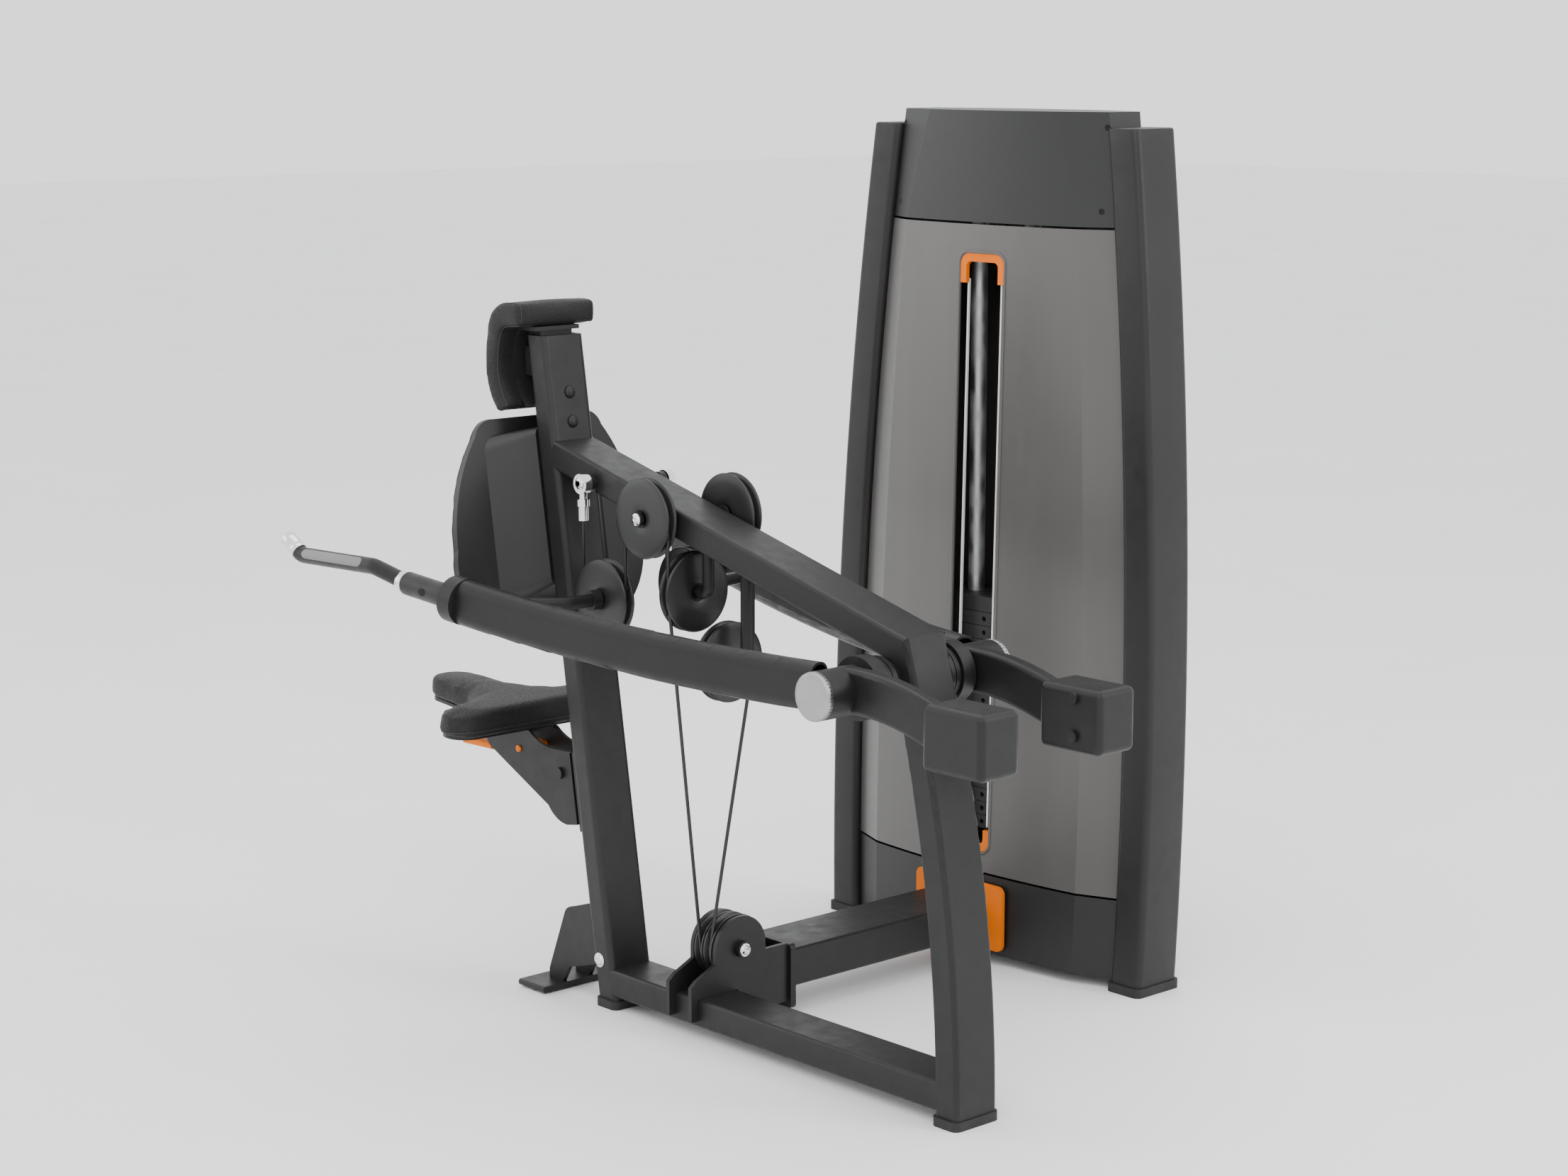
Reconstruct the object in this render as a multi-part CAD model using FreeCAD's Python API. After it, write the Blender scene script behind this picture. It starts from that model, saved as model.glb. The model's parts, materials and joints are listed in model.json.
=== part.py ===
import FreeCAD, Part
import math
import os

V = FreeCAD.Vector

# A seated dip machine: two counterweighted lever arms beside a seat, cables and a weight tower.
# Millimetres. +Z is up, the user faces -X, and +Y runs from the seat frame to the weight tower.
# It is laid out from the near corner of the rear foot, then moved so that the origin is the
# middle of its footprint on the floor. "Near" is the -Y side of the seat frame, "far" the +Y side.

# ---- driving dimensions: seat frame -----------------------------------------------------------
MID_Y = 47.5                 # the seat frame's middle plane
TUBE_D, TUBE_W = 50.0, 89.0  # frame tube: along the machine, across it
WALL = 3.0
NEAR_FACE, FAR_FACE = MID_Y - TUBE_W / 2, MID_Y + TUBE_W / 2
BEAM_BOTTOM, BEAM_TOP = 22.0, 70.0
COLUMN_FOOT_X, COLUMN_LEAN, COLUMN_TOP = -847.0, 0.157, 1150.0
LEG_LINE = (V(-27, MID_Y, 12), V(-54, MID_Y, 366), V(-155, MID_Y, 772))
MITRE_OUTER, MITRE_INNER = V(-122, MID_Y, 752), V(-153, MID_Y, 710)
DIAGONAL_FRONT, DIAGONAL_REAR = V(-983, MID_Y, 950.8), V(-128, MID_Y, 728.8)
DIAGONAL_H = 48.0
BASE_PULLEY = (98.0, 140.0)  # Y and Z of the base pulleys' axle

# ---- driving dimensions: arms -----------------------------------------------------------------
PIVOT_X, PIVOT_Z = -165.0, 677.0
SHAFT_R, BARREL_R = 20.0, 38.0
BARREL_END_Y = -146.0
ARM_LINE = (V(-192, -109, 683), V(-560, -180, 697), V(-905, -245, 735))
ARM_W, ARM_H, ARM_R = 46.0, 76.0, 20.0
NOSE_END, COLLAR_END = V(-929, -248, 738), V(-1050, -252, 748)
HANDLE_LINE = (COLLAR_END, V(-1123, -270, 770), V(-1341, -270, 763), V(-1383, -270, 788))
HANDLE_R = 14.0
BLOCK_X, BLOCK_Y, BLOCK_Z = (35.0, 159.0), (-119.0, -37.0), (594.0, 694.0)

# ---- driving dimensions: cables and pulleys ---------------------------------------------------
CABLE_R = 3.0
GROOVE_R, PULLEY_R, RIM_W, HUB_W = 55.0, 67.0, 22.0, 28.0
BASE_GROOVE_R, BASE_RIM_R, BASE_RIM_W = 50.0, 57.0, 20.0
AXLE_R = 8.0
FIT = 0.05                   # running clearance, radial
GROOVE_GAP = 0.3             # between a cable and the bottom of its groove
NEAR_Y = -17.0               # the near cable's plane
FAR_Y = 2 * MID_Y - NEAR_Y
NEAR_ARM_PULLEY, FAR_ARM_PULLEY = V(-818, NEAR_Y, 725), V(-754, FAR_Y, 739)
NEAR_TOP_PULLEY, FAR_TOP_PULLEY = V(-708, NEAR_Y, 873), V(-644, FAR_Y, 876)
NEAR_CORNER, FAR_CORNER = V(-653, 38, 752), V(-589, 57, 641)
NEAR_EYE, FAR_EYE = V(-873, NEAR_Y, 913), V(-809, FAR_Y, 915)
FERRULE_BOTTOM = 851.0
NEAR_BASE_X, FAR_BASE_X = -650.0, -627.0
RUN_Z = BASE_PULLEY[1] - BASE_GROOVE_R

# ---- driving dimensions: seat and pads --------------------------------------------------------
SEAT_REAR_X, SEAT_NOSE_X, SEAT_TOP_Z, SEAT_RISE = -1062.0, -1385.0, 497.0, 14.0
SEAT_T = 41.0
BACK_PLANE_X, BACK_Z = -1055.0, 787.0
BACK_T = 22.0
HEAD_Y = (-40.0, 135.0)

# ---- driving dimensions: tower ----------------------------------------------------------------
TOWER_X, TOWER_H = -652.0, 1500.0
TOWER_MID_Y, TOWER_LEAN = 769.5, 0.022
TOWER_COLUMN_W, TOWER_COLUMN_D = 68.0, 105.0
HOOD_TOP, HOOD_SEAM, PLINTH_SEAM, PLINTH_BOTTOM = 1526.0, 1329.0, 162.0, 17.0
SEAM = 4.0
SKIN = 3.0
BOW, CREASE, RETURN = 86.5, 69.5, 39.5   # offsets of the shroud's section from the middle plane
SLOT_W, SLOT_Z, SLOT_BAND = 105.0, (200.0, 1276.0), 14.0
LOWER_PULLEY = (788.0, 140.0)
RISER_Y = LOWER_PULLEY[0] + BASE_GROOVE_R
YOKE_Z = (1180.0, 1230.0)
YOKE_X = (NEAR_BASE_X + FAR_BASE_X) / 2
TOP_PULLEY_Z = 1400.0
STACK_Y, STACK_BOTTOM, PLATE_PITCH, PLATE_T = 772.0, 232.0, 25.0, 24.0
PLATE_COUNT, SELECTED = 16, 5
PLATE_W, PLATE_D = 260.0, 92.0
GUIDE_SPREAD, GUIDE_R, SELECTOR_R = 64.0, 15.0, 12.0

nodes = {}


# ---- helpers ----------------------------------------------------------------------------------
def box(x0, x1, y0, y1, z0, z1):
    return Part.makeBox(x1 - x0, y1 - y0, z1 - z0, V(x0, y0, z0))


def rod(start, end, radius):
    """A round bar between two points."""
    axis = end - start
    return Part.makeCylinder(radius, axis.Length, start, axis)


def ring(start, end, outer, inner):
    return rod(start, end, outer).cut(rod(start, end, inner))


def join(shapes):
    return shapes[0].fuse(shapes[1:]).removeSplitter()


def wire_of(points):
    """A closed wire; an item may be a point or a pair (through, end) for an arc."""
    edges = []
    current = points[0]
    for item in points[1:] + [points[0]]:
        through, end = item if isinstance(item, tuple) else (None, item)
        if (end - current).Length > 1e-6:
            curve = Part.Arc(current, through, end) if through else Part.LineSegment(current, end)
            edges.append(curve.toShape())
        current = end
    return Part.Wire(edges)


def prism(points, along):
    return Part.Face(wire_of(points)).extrude(along)


def rounded(width, height, radius):
    """A rounded rectangle in the XY plane, centred on the origin."""
    x, y, r = width / 2, height / 2, radius
    k = r * (1 - math.sqrt(0.5))
    return Part.Face(wire_of([
        V(x - r, -y), (V(x - k, k - y), V(x, r - y)), V(x, y - r), (V(x - k, y - k), V(x - r, y)),
        V(r - x, y), (V(k - x, y - k), V(-x, y - r)), V(-x, r - y), (V(k - x, k - y), V(r - x, -y))]))


def placed(shape, at, normal, across):
    """Move a shape drawn in XY so that +Z lies along normal and +X near across."""
    z = V(normal).normalize()
    x = V(across) - z * z.dot(across)
    x.normalize()
    y = z.cross(x)
    moved = shape.copy()
    moved.transformShape(FreeCAD.Matrix(
        x.x, y.x, z.x, at.x, x.y, y.y, z.y, at.y, x.z, y.z, z.z, at.z, 0, 0, 0, 1))
    return moved


def beyond(point, normal):
    """Everything on the normal's side of a plane."""
    across = V(0, 1, 0) if abs(V(normal).normalize().y) < 0.9 else V(1, 0, 0)
    return placed(Part.makeBox(4000, 4000, 4000, V(-2000, -2000, 0)), point, normal, across)


def straight_bar(start, end, across, width, height, radius, wall=0.0):
    """A rounded rectangular bar or tube; width is measured along across."""
    run = end - start
    bar = placed(rounded(width, height, radius), start, run, across).extrude(run)
    if wall:
        inner = rounded(width - 2 * wall, height - 2 * wall, radius - wall + 1)
        bar = bar.cut(placed(inner, start, run, across).extrude(run))
    return bar


def curved_bar(line, across, width, height, radius, wall=0.0):
    """A rounded rectangular bar or tube along the arc through three points."""
    a, b, c = line
    ab, ac = b - a, c - a
    normal = ab.cross(ac)
    centre = a + (normal.cross(ab) * ac.dot(ac) + ac.cross(normal) * ab.dot(ab)) / (
        2 * normal.dot(normal))
    angle = math.degrees((a - centre).getAngle(c - centre))
    tangent = normal.cross(a - centre)

    def swept(w, h, r):
        return placed(rounded(w, h, r), a, tangent, across).revolve(centre, normal, angle)

    bar = swept(width, height, radius)
    if wall:
        bar = bar.cut(swept(width - 2 * wall, height - 2 * wall, radius - wall + 1))
    return bar


def bent_rod(points, bend, radius):
    """A round bar along straight runs joined by arcs of one bend radius."""
    pieces = []
    start = points[0]
    for before, corner, after in zip(points, points[1:], points[2:]):
        u = (before - corner).normalize()
        w = (after - corner).normalize()
        half = u.getAngle(w) / 2
        reach = bend / math.tan(half)
        first = corner + u * reach
        centre = corner + (u + w).normalize() * (bend / math.sin(half))
        axis = (first - centre).cross(corner + w * reach - centre)
        disc = Part.Face(Part.Wire(Part.makeCircle(radius, first, u)))
        pieces.append(rod(start, first, radius))
        pieces.append(disc.revolve(centre, axis, 180 - math.degrees(2 * half)))
        start = corner + w * reach
    pieces.append(rod(start, points[-1], radius))
    return join(pieces)


def cable(start, *route):
    """A cable along straight runs and arcs; an item is an end point or a pair (through, end)."""
    pieces = []
    heading = None
    for item in route:
        through, end = item if isinstance(item, tuple) else (None, item)
        curve = Part.Arc(start, through, end) if through else Part.LineSegment(start, end)
        edge = curve.toShape()
        first, last = edge.FirstParameter, edge.LastParameter
        profile = Part.Face(Part.Wire(Part.makeCircle(CABLE_R, start, edge.tangentAt(first))))
        if through:
            arc = edge.Curve
            run = profile.revolve(arc.Center, arc.Axis, math.degrees(last - first))
        else:
            run = profile.extrude(end - start)
        if heading and heading.getAngle(edge.tangentAt(first)) > 0.01:
            pieces.append(Part.makeSphere(CABLE_R, start))
        pieces.append(run)
        heading = edge.tangentAt(last)
        start = end
    return pieces[0].fuse(pieces[1:])


def mirrored(shape):
    """The same piece on the far side of the seat frame."""
    return shape.mirror(V(0, MID_Y, 0), V(0, 1, 0))


def column_x(z):
    return COLUMN_FOOT_X - COLUMN_LEAN * z


LEAN = V(-COLUMN_LEAN, 0, 1).normalize()           # up along the seat column
FORWARD = V(-1, 0, -COLUMN_LEAN).normalize()       # square to it, towards the user
COLUMN_DEPTH = TUBE_D * math.cos(math.atan(COLUMN_LEAN))


def column_solid():
    low = V(column_x(8), MID_Y, 8)
    high = V(column_x(COLUMN_TOP), MID_Y, COLUMN_TOP) + LEAN * 20
    bar = straight_bar(low, high, V(0, 1, 0), TUBE_W, COLUMN_DEPTH, 11)
    return bar.common(box(-1300, -600, -60, 160, 15, COLUMN_TOP))


def on_column(z, y, ahead):
    """A point square in front of the seat column's front face."""
    return V(column_x(z), y, z) + FORWARD * (COLUMN_DEPTH / 2 + ahead)


# ---- seat frame -------------------------------------------------------------------------------
def build_seat_frame():
    across = V(0, 1, 0)
    solid = column_solid()
    low = V(column_x(8), MID_Y, 8)
    hollow = straight_bar(low, V(column_x(1144), MID_Y, 1144), across,
                          TUBE_W - 2 * WALL, COLUMN_DEPTH - 2 * WALL, 8)
    nodes["main_column"] = solid.cut(hollow)

    mid_z = (BEAM_TOP + BEAM_BOTTOM) / 2
    front_x = column_x(mid_z) + TUBE_D / 2 - 10
    leg_solid = curved_bar(LEG_LINE, across, TUBE_W, TUBE_D, 8)
    beam = straight_bar(V(front_x, MID_Y, mid_z), V(-40, MID_Y, mid_z), across,
                        TUBE_W, BEAM_TOP - BEAM_BOTTOM, 6, WALL)
    nodes["base_beam"] = beam.cut(solid).cut(leg_solid)

    behind_mitre = beyond(MITRE_OUTER, V(42, 0, -31))
    run = (DIAGONAL_REAR - DIAGONAL_FRONT).normalize()
    housing_solid = rod(V(PIVOT_X, -20, PIVOT_Z), V(PIVOT_X, 115, PIVOT_Z), BARREL_R)
    leg = curved_bar(LEG_LINE, across, TUBE_W, TUBE_D, 8, WALL)
    nodes["rear_leg"] = leg.common(behind_mitre).cut(housing_solid)
    diagonal = straight_bar(DIAGONAL_FRONT, DIAGONAL_REAR + run * 60, across,
                            TUBE_W, DIAGONAL_H, 6, WALL)
    bolts = [rod(V(p.x, 2 * p.y - MID_Y, p.z), V(p.x, MID_Y, p.z), AXLE_R)
             for p in (NEAR_TOP_PULLEY, FAR_TOP_PULLEY, NEAR_EYE, FAR_EYE)]
    nodes["diagonal_beam"] = diagonal.cut([behind_mitre, housing_solid, solid] + bolts)

    shaft = rod(V(PIVOT_X, BARREL_END_Y + 6, PIVOT_Z),
                V(PIVOT_X, 2 * MID_Y - BARREL_END_Y - 6, PIVOT_Z), SHAFT_R)
    cross_tube = rod(V(PIVOT_X, -8, PIVOT_Z), V(PIVOT_X, 103, PIVOT_Z), BARREL_R)
    nodes["pivot_housing"] = cross_tube.fuse(shaft)

    plate = straight_bar(V(-1048, MID_Y, 8.5), V(-977, MID_Y, 8.5), across, 165, 11, 4)
    gussets = [prism([
        V(-896, y, 175), V(-958, y, 155), (V(-970, y, 150), V(-978, y, 139)), V(-1022, y, 30),
        V(-1022, y, 12), V(-985, y, 12), V(-966, y, 44), V(-874, y, 70)], V(0, 8, 0))
        for y in (14.0, 73.0)]
    nodes["front_foot_plate"] = join([plate] + gussets).cut(solid)

    feet = []
    for x in (column_x(7), LEG_LINE[0].x):
        feet.append(straight_bar(V(x, MID_Y, 0), V(x, MID_Y, 15), across, 98, 56, 12))
    for y in (-15.0, 110.0):
        feet.append(rod(V(-1012, y, 0), V(-1012, y, 3), 14))
    for side in (-1, 1):
        x = TOWER_X + side * (tower_half(0) - TOWER_COLUMN_W / 2)
        feet.append(straight_bar(V(x, TOWER_MID_Y, 0), V(x, TOWER_MID_Y, 16), across,
                                 TOWER_COLUMN_D + 8, TOWER_COLUMN_W + 8, 12))
    nodes["rubber_feet"] = Part.makeCompound(feet)
    trim = box(-2000, 500, -60, 160, 15, 2000)
    nodes["rear_leg"] = nodes["rear_leg"].common(trim)


# ---- base pulley bracket and connecting beam --------------------------------------------------
def build_connecting_beam():
    y, z = BASE_PULLEY
    parts = []
    for x in (-671.0, -614.0):
        parts.append(prism([
            V(x, -12, 33), V(x, -12, 92), V(x, 0, 102), V(x, 42, 122), V(x, 42, z),
            (V(x, y, z + 56), V(x, y + 56, z)), V(x, y + 56, 128), V(x, 205, 128), V(x, 205, 25),
            V(x, FAR_FACE + 0.3, 25), V(x, FAR_FACE + 0.3, BEAM_TOP + 0.2),
            V(x, NEAR_FACE - 0.3, BEAM_TOP + 0.2), V(x, NEAR_FACE - 0.3, 33)], V(8, 0, 0)))
    parts.append(rod(V(-682, y, z), V(-595, y, z), AXLE_R))
    parts.append(rod(V(-682, y, z), V(-671, y, z), 14))
    parts.append(rod(V(-606, y, z), V(-595, y, z), 14))
    nodes["base_pulley_bracket"] = join(parts)

    link = straight_bar(V(-638.5, FAR_FACE, 48), V(-638.5, 205, 48), V(1, 0, 0), 48, 44, 5, WALL)
    plate = straight_bar(V(-664, 205, 69), V(-664, 217, 69), V(1, 0, 0), 132, 114, 8)
    tube = straight_bar(V(-664, 217, 83.5), V(-664, 712, 83.5), V(1, 0, 0), 132, 67, 8, WALL)
    window = box(-662, -615, 190, 230, RUN_Z - 14, RUN_Z + 14)
    nodes["connecting_beam"] = join([link, plate.cut(window), tube])

    flange = straight_bar(V(-659, 675, 87), V(-659, 682, 87), V(1, 0, 0), 218, 120, 14)
    hole = straight_bar(V(-664, 600, 83.5), V(-664, 700, 83.5), V(1, 0, 0), 132.4, 67.4, 8)
    nodes["beam_flange"] = flange.cut(hole)


# ---- arms -------------------------------------------------------------------------------------
def arm_parts(pulley):
    """The near lever arm, its counterweight and its handle, carrying a pulley at a point."""
    bore = rod(V(PIVOT_X, BARREL_END_Y + 5, PIVOT_Z), V(PIVOT_X, 0, PIVOT_Z), SHAFT_R + FIT)
    parts = [rod(V(PIVOT_X, BARREL_END_Y, PIVOT_Z), V(PIVOT_X, -30, PIVOT_Z), BARREL_R),
             rod(V(PIVOT_X, -57, PIVOT_Z), V(PIVOT_X, -31, PIVOT_Z), 50),
             rod(V(PIVOT_X, -29, PIVOT_Z), V(PIVOT_X, -20, PIVOT_Z), 45),
             rod(V(PIVOT_X, -18, PIVOT_Z), V(PIVOT_X, -9, PIVOT_Z), 45),
             rod(V(PIVOT_X, -31, PIVOT_Z), V(PIVOT_X, -9, PIVOT_Z), 42)]
    parts.append(curved_bar(ARM_LINE, V(0.19, 1, 0), ARM_W, ARM_H, ARM_R, 4))
    parts.append(rod(ARM_LINE[2] + V(4, 0.5, 0), NOSE_END, 39))
    collar = rod(NOSE_END, COLLAR_END, 20)
    along = (COLLAR_END - NOSE_END).normalize()
    spindle_start = NOSE_END + along * 24
    spindle_hole = rod(spindle_start - along * 2, COLLAR_END + along * 5, 12 + FIT)
    parts.append(collar)
    tail = curved_bar((V(PIVOT_X, -78, PIVOT_Z + 2), V(-45, -78, 672), V(60, -78, 640)),
                      V(0, 1, 0), 30, 70, 8)
    parts.append(tail.common(box(-400, BLOCK_X[0], -200, 0, 400, 900)))
    start = V(pulley.x - 32, -212, 735)
    parts.append(bent_rod([start, V(pulley.x, -96, pulley.z), V(pulley.x, -44, pulley.z)], 40, 11))
    parts.append(rod(V(pulley.x, -50, pulley.z), V(pulley.x, -33, pulley.z), 17))
    parts.append(rod(V(pulley.x, -36, pulley.z), V(pulley.x, 1, pulley.z), AXLE_R))
    parts.append(rod(V(pulley.x, -2.5, pulley.z), V(pulley.x, 1, pulley.z), 12))
    arm = join(parts).cut([bore, spindle_hole])

    block = box(*BLOCK_X, *BLOCK_Y, *BLOCK_Z)
    block = block.makeFillet(11, block.Edges)
    bolts = [rod(V(108, BLOCK_Y[1] - 1, z), V(108, BLOCK_Y[1] + 6, z), 9) for z in (620, 678)]
    weight = join([block] + bolts).cut(tail)

    bar = bent_rod(list(HANDLE_LINE), 32, HANDLE_R)
    cuff = rod(COLLAR_END, COLLAR_END + along * 18, 17)
    outside = join([bar, cuff]).common(beyond(COLLAR_END + along * 0.4, along))
    handle = join([outside, rod(spindle_start, COLLAR_END + along * 6, 12)])
    return arm, weight, handle


def build_arms():
    arm, weight, handle = arm_parts(NEAR_ARM_PULLEY)
    nodes["near_arm"] = arm
    nodes["near_counterweight"] = weight
    nodes["near_handle"] = handle
    arm, weight, handle = arm_parts(V(FAR_ARM_PULLEY.x, NEAR_Y, FAR_ARM_PULLEY.z))
    nodes["far_arm"] = mirrored(arm)
    nodes["far_counterweight"] = mirrored(weight)
    nodes["far_handle"] = mirrored(handle)


# ---- pulleys and cables -----------------------------------------------------------------------
def pulley(centre, axis, groove_r=GROOVE_R, rim_r=PULLEY_R, rim_w=RIM_W, hub_w=HUB_W):
    """A grooved wheel with flat faces and a proud hub, bored to run on its axle."""
    half_groove = CABLE_R + GROOVE_GAP
    root = groove_r - half_groove
    h, rim = rim_w / 2, rim_r
    profile = [
        V(AXLE_R + FIT, 0, -hub_w / 2), V(18, 0, -hub_w / 2), V(18, 0, -h), V(rim, 0, -h),
        V(rim, 0, -h + 3), V(root + 2.4, 0, -half_groove),
        (V(root, 0, 0), V(root + 2.4, 0, half_groove)), V(rim, 0, h - 3), V(rim, 0, h),
        V(18, 0, h), V(18, 0, hub_w / 2), V(AXLE_R + FIT, 0, hub_w / 2)]
    wheel = Part.Face(wire_of(profile)).revolve(V(0, 0, 0), V(0, 0, 1), 360)
    return placed(wheel, centre, axis, V(0, 0, 1))


def build_pulleys():
    y_axis, x_axis = V(0, 1, 0), V(1, 0, 0)
    nodes["near_arm_pulley"] = pulley(NEAR_ARM_PULLEY, y_axis)
    nodes["far_arm_pulley"] = pulley(FAR_ARM_PULLEY, y_axis)
    nodes["near_top_pulley"] = pulley(NEAR_TOP_PULLEY, y_axis)
    nodes["far_top_pulley"] = pulley(FAR_TOP_PULLEY, y_axis)
    nodes["near_corner_pulley"] = pulley(NEAR_CORNER, x_axis)
    nodes["far_corner_pulley"] = pulley(FAR_CORNER, x_axis)
    for name, (y, z) in (("base_pulleys", BASE_PULLEY), ("tower_pulleys", LOWER_PULLEY)):
        pair = [pulley(V(x, y, z), x_axis, BASE_GROOVE_R, BASE_RIM_R, BASE_RIM_W, 22.9)
                for x in (NEAR_BASE_X, FAR_BASE_X)]
        nodes[name] = Part.makeCompound(pair)

    hangers = []
    for corner, rod_x, radius in ((NEAR_CORNER, -616.0, 10.0), (FAR_CORNER, -542.0, 11.0)):
        under = DIAGONAL_FRONT.z - 0.2596 * (rod_x - DIAGONAL_FRONT.x) - 26
        bend = bent_rod([V(rod_x, corner.y, under + 6), V(rod_x, corner.y, corner.z),
                         V(corner.x + HUB_W / 2 + 2, corner.y, corner.z)], 14, radius)
        pin = rod(V(corner.x + HUB_W / 2 + 3, corner.y, corner.z),
                  V(corner.x - HUB_W / 2 - 5, corner.y, corner.z), AXLE_R)
        head = rod(V(corner.x - HUB_W / 2 - 6, corner.y, corner.z),
                   V(corner.x - HUB_W / 2 - 1, corner.y, corner.z), 12)
        hangers.append(join([bend, pin, head]).cut(beyond(
            DIAGONAL_FRONT + V(0.2512, 0, 0.9679) * (-DIAGONAL_H / 2 - 0.05),
            V(0.2512, 0, 0.9679))))
    nodes["corner_hangers"] = Part.makeCompound(hangers)

    bolts, ends = [], []
    for centre, eye, side in ((NEAR_TOP_PULLEY, NEAR_EYE, -1), (FAR_TOP_PULLEY, FAR_EYE, 1)):
        face = MID_Y + side * TUBE_W / 2
        head_y = centre.y + side * (HUB_W / 2 + 1)
        bolt = rod(V(centre.x, face - side * 22, centre.z), V(centre.x, head_y, centre.z), AXLE_R)
        spacer = ring(V(centre.x, face, centre.z),
                      V(centre.x, centre.y - side * (HUB_W / 2 + 1), centre.z), 15, AXLE_R)
        head = rod(V(centre.x, head_y, centre.z), V(centre.x, head_y + side * 6, centre.z), 12)
        bolts.append(join([bolt, spacer, head]))
        stud = rod(V(eye.x, face - side * 22, eye.z), V(eye.x, eye.y + side * 10, eye.z), AXLE_R)
        boss = rod(V(eye.x, face, eye.z), V(eye.x, face + side * 11, eye.z), 15)
        bolts.append(join([stud, boss.cut(stud)]))
        loop = ring(V(eye.x, eye.y - 7, eye.z), V(eye.x, eye.y + 7, eye.z), 17, AXLE_R)
        shank = rod(V(eye.x, eye.y, eye.z - 14), V(eye.x, eye.y, FERRULE_BOTTOM + 14), 7)
        nut = rod(V(eye.x, eye.y, eye.z - 38), V(eye.x, eye.y, eye.z - 26), 11)
        ferrule = rod(V(eye.x, eye.y, FERRULE_BOTTOM + 22), V(eye.x, eye.y, FERRULE_BOTTOM), 9)
        ends.append(join([loop, shank, nut, ferrule]))
    nodes["pulley_axles"] = Part.makeCompound(bolts)
    nodes["cable_rod_ends"] = Part.makeCompound(ends)


def belt_tangent(c1, r1, c2, r2, side):
    """Where a straight run leaves circle 1 and meets circle 2 in the YZ plane."""
    dy, dz = c2[0] - c1[0], c2[1] - c1[1]
    length = math.hypot(dy, dz)
    sine = (r1 - r2) / length
    cosine = math.sqrt(1 - sine * sine)
    uy, uz = dy / length, dz / length
    ny = side * -uz * cosine + uy * sine
    nz = side * uy * cosine + uz * sine
    return (ny, nz), (c1[0] + r1 * ny, c1[1] + r1 * nz), (c2[0] + r2 * ny, c2[1] + r2 * nz)


def mid_direction(a, b):
    total = (a[0] + b[0], a[1] + b[1])
    size = math.hypot(*total)
    return total[0] / size, total[1] / size


def arm_cable(eye, arm, top, corner, corner_side, base_x, yoke_bottom):
    """The three pieces of an arm's cable: to the arm pulley, under it, and on to the yoke."""
    g, b = GROOVE_R, BASE_GROOVE_R
    left = V(arm.x - g, arm.y, arm.z)
    right = V(arm.x + g, arm.y, arm.z)
    first = cable(V(left.x, left.y, FERRULE_BOTTOM), left)
    loop = cable(left, (V(arm.x, arm.y, arm.z - g), right))

    by, bz = BASE_PULLEY
    same = 1 if corner_side > 0 else -1
    normal, leave, meet = belt_tangent((corner.y, corner.z), g, (by, bz), -b if same > 0 else b,
                                       1 if same > 0 else -1)
    half = mid_direction((corner_side, 0), normal)
    enter = (-normal[0], -normal[1]) if same > 0 else normal
    under = mid_direction(enter, (0, -1))
    ly, lz = LOWER_PULLEY
    s = math.sqrt(0.5)
    x = corner.x
    route = [
        V(top.x - g, top.y, top.z), (V(top.x, top.y, top.z + g), V(top.x + g, top.y, top.z)),
        V(x, corner.y + corner_side * g, corner.z),
        (V(x, corner.y + half[0] * g, corner.z + half[1] * g), V(x, *leave)),
        V(base_x, *meet), (V(base_x, by + under[0] * b, bz + under[1] * b), V(base_x, by, bz - b)),
        V(base_x, ly, lz - b), (V(base_x, ly + b * s, lz - b * s), V(base_x, ly + b, lz)),
        V(base_x, ly + b, yoke_bottom)]
    return first, loop, cable(right, *route)


def build_cables():
    first, loop, rest = arm_cable(NEAR_EYE, NEAR_ARM_PULLEY, NEAR_TOP_PULLEY, NEAR_CORNER, -1,
                                  NEAR_BASE_X, YOKE_Z[0] + 6)
    nodes["near_cable"] = Part.makeCompound([first, rest])
    nodes["near_cable_loop"] = loop
    first, loop, rest = arm_cable(FAR_EYE, FAR_ARM_PULLEY, FAR_TOP_PULLEY, FAR_CORNER, 1,
                                  FAR_BASE_X, YOKE_Z[0] + 6)
    nodes["far_cable"] = Part.makeCompound([first, rest.cut(nodes["far_corner_pulley"])])
    nodes["far_cable_loop"] = loop


# ---- seat and pads ----------------------------------------------------------------------------
def seat_outline(shrink):
    """Half a turn of the seat's outline: wide lobes at the rear, a narrow rounded nose."""
    s = shrink
    far = [V(SEAT_REAR_X - s, 145.5, 0), (V(-1110, 193 - s, 0), V(-1150 + s, 171.5, 0)),
           (V(-1180 + s, 105.5, 0), V(-1235, 58.5 - s, 0)), V(-1335, 50 - s, 0)]
    tip = V(SEAT_NOSE_X + s, 0, 0)
    flip = [V(p[1].x, -p[1].y, 0) if isinstance(p, tuple) else V(p.x, -p.y, 0) for p in far]
    through = [V(far[1][0].x, -far[1][0].y, 0), V(far[2][0].x, -far[2][0].y, 0)]
    return far + [(tip, flip[3]), flip[2], (through[1], flip[1]), (through[0], flip[0])]


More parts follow.
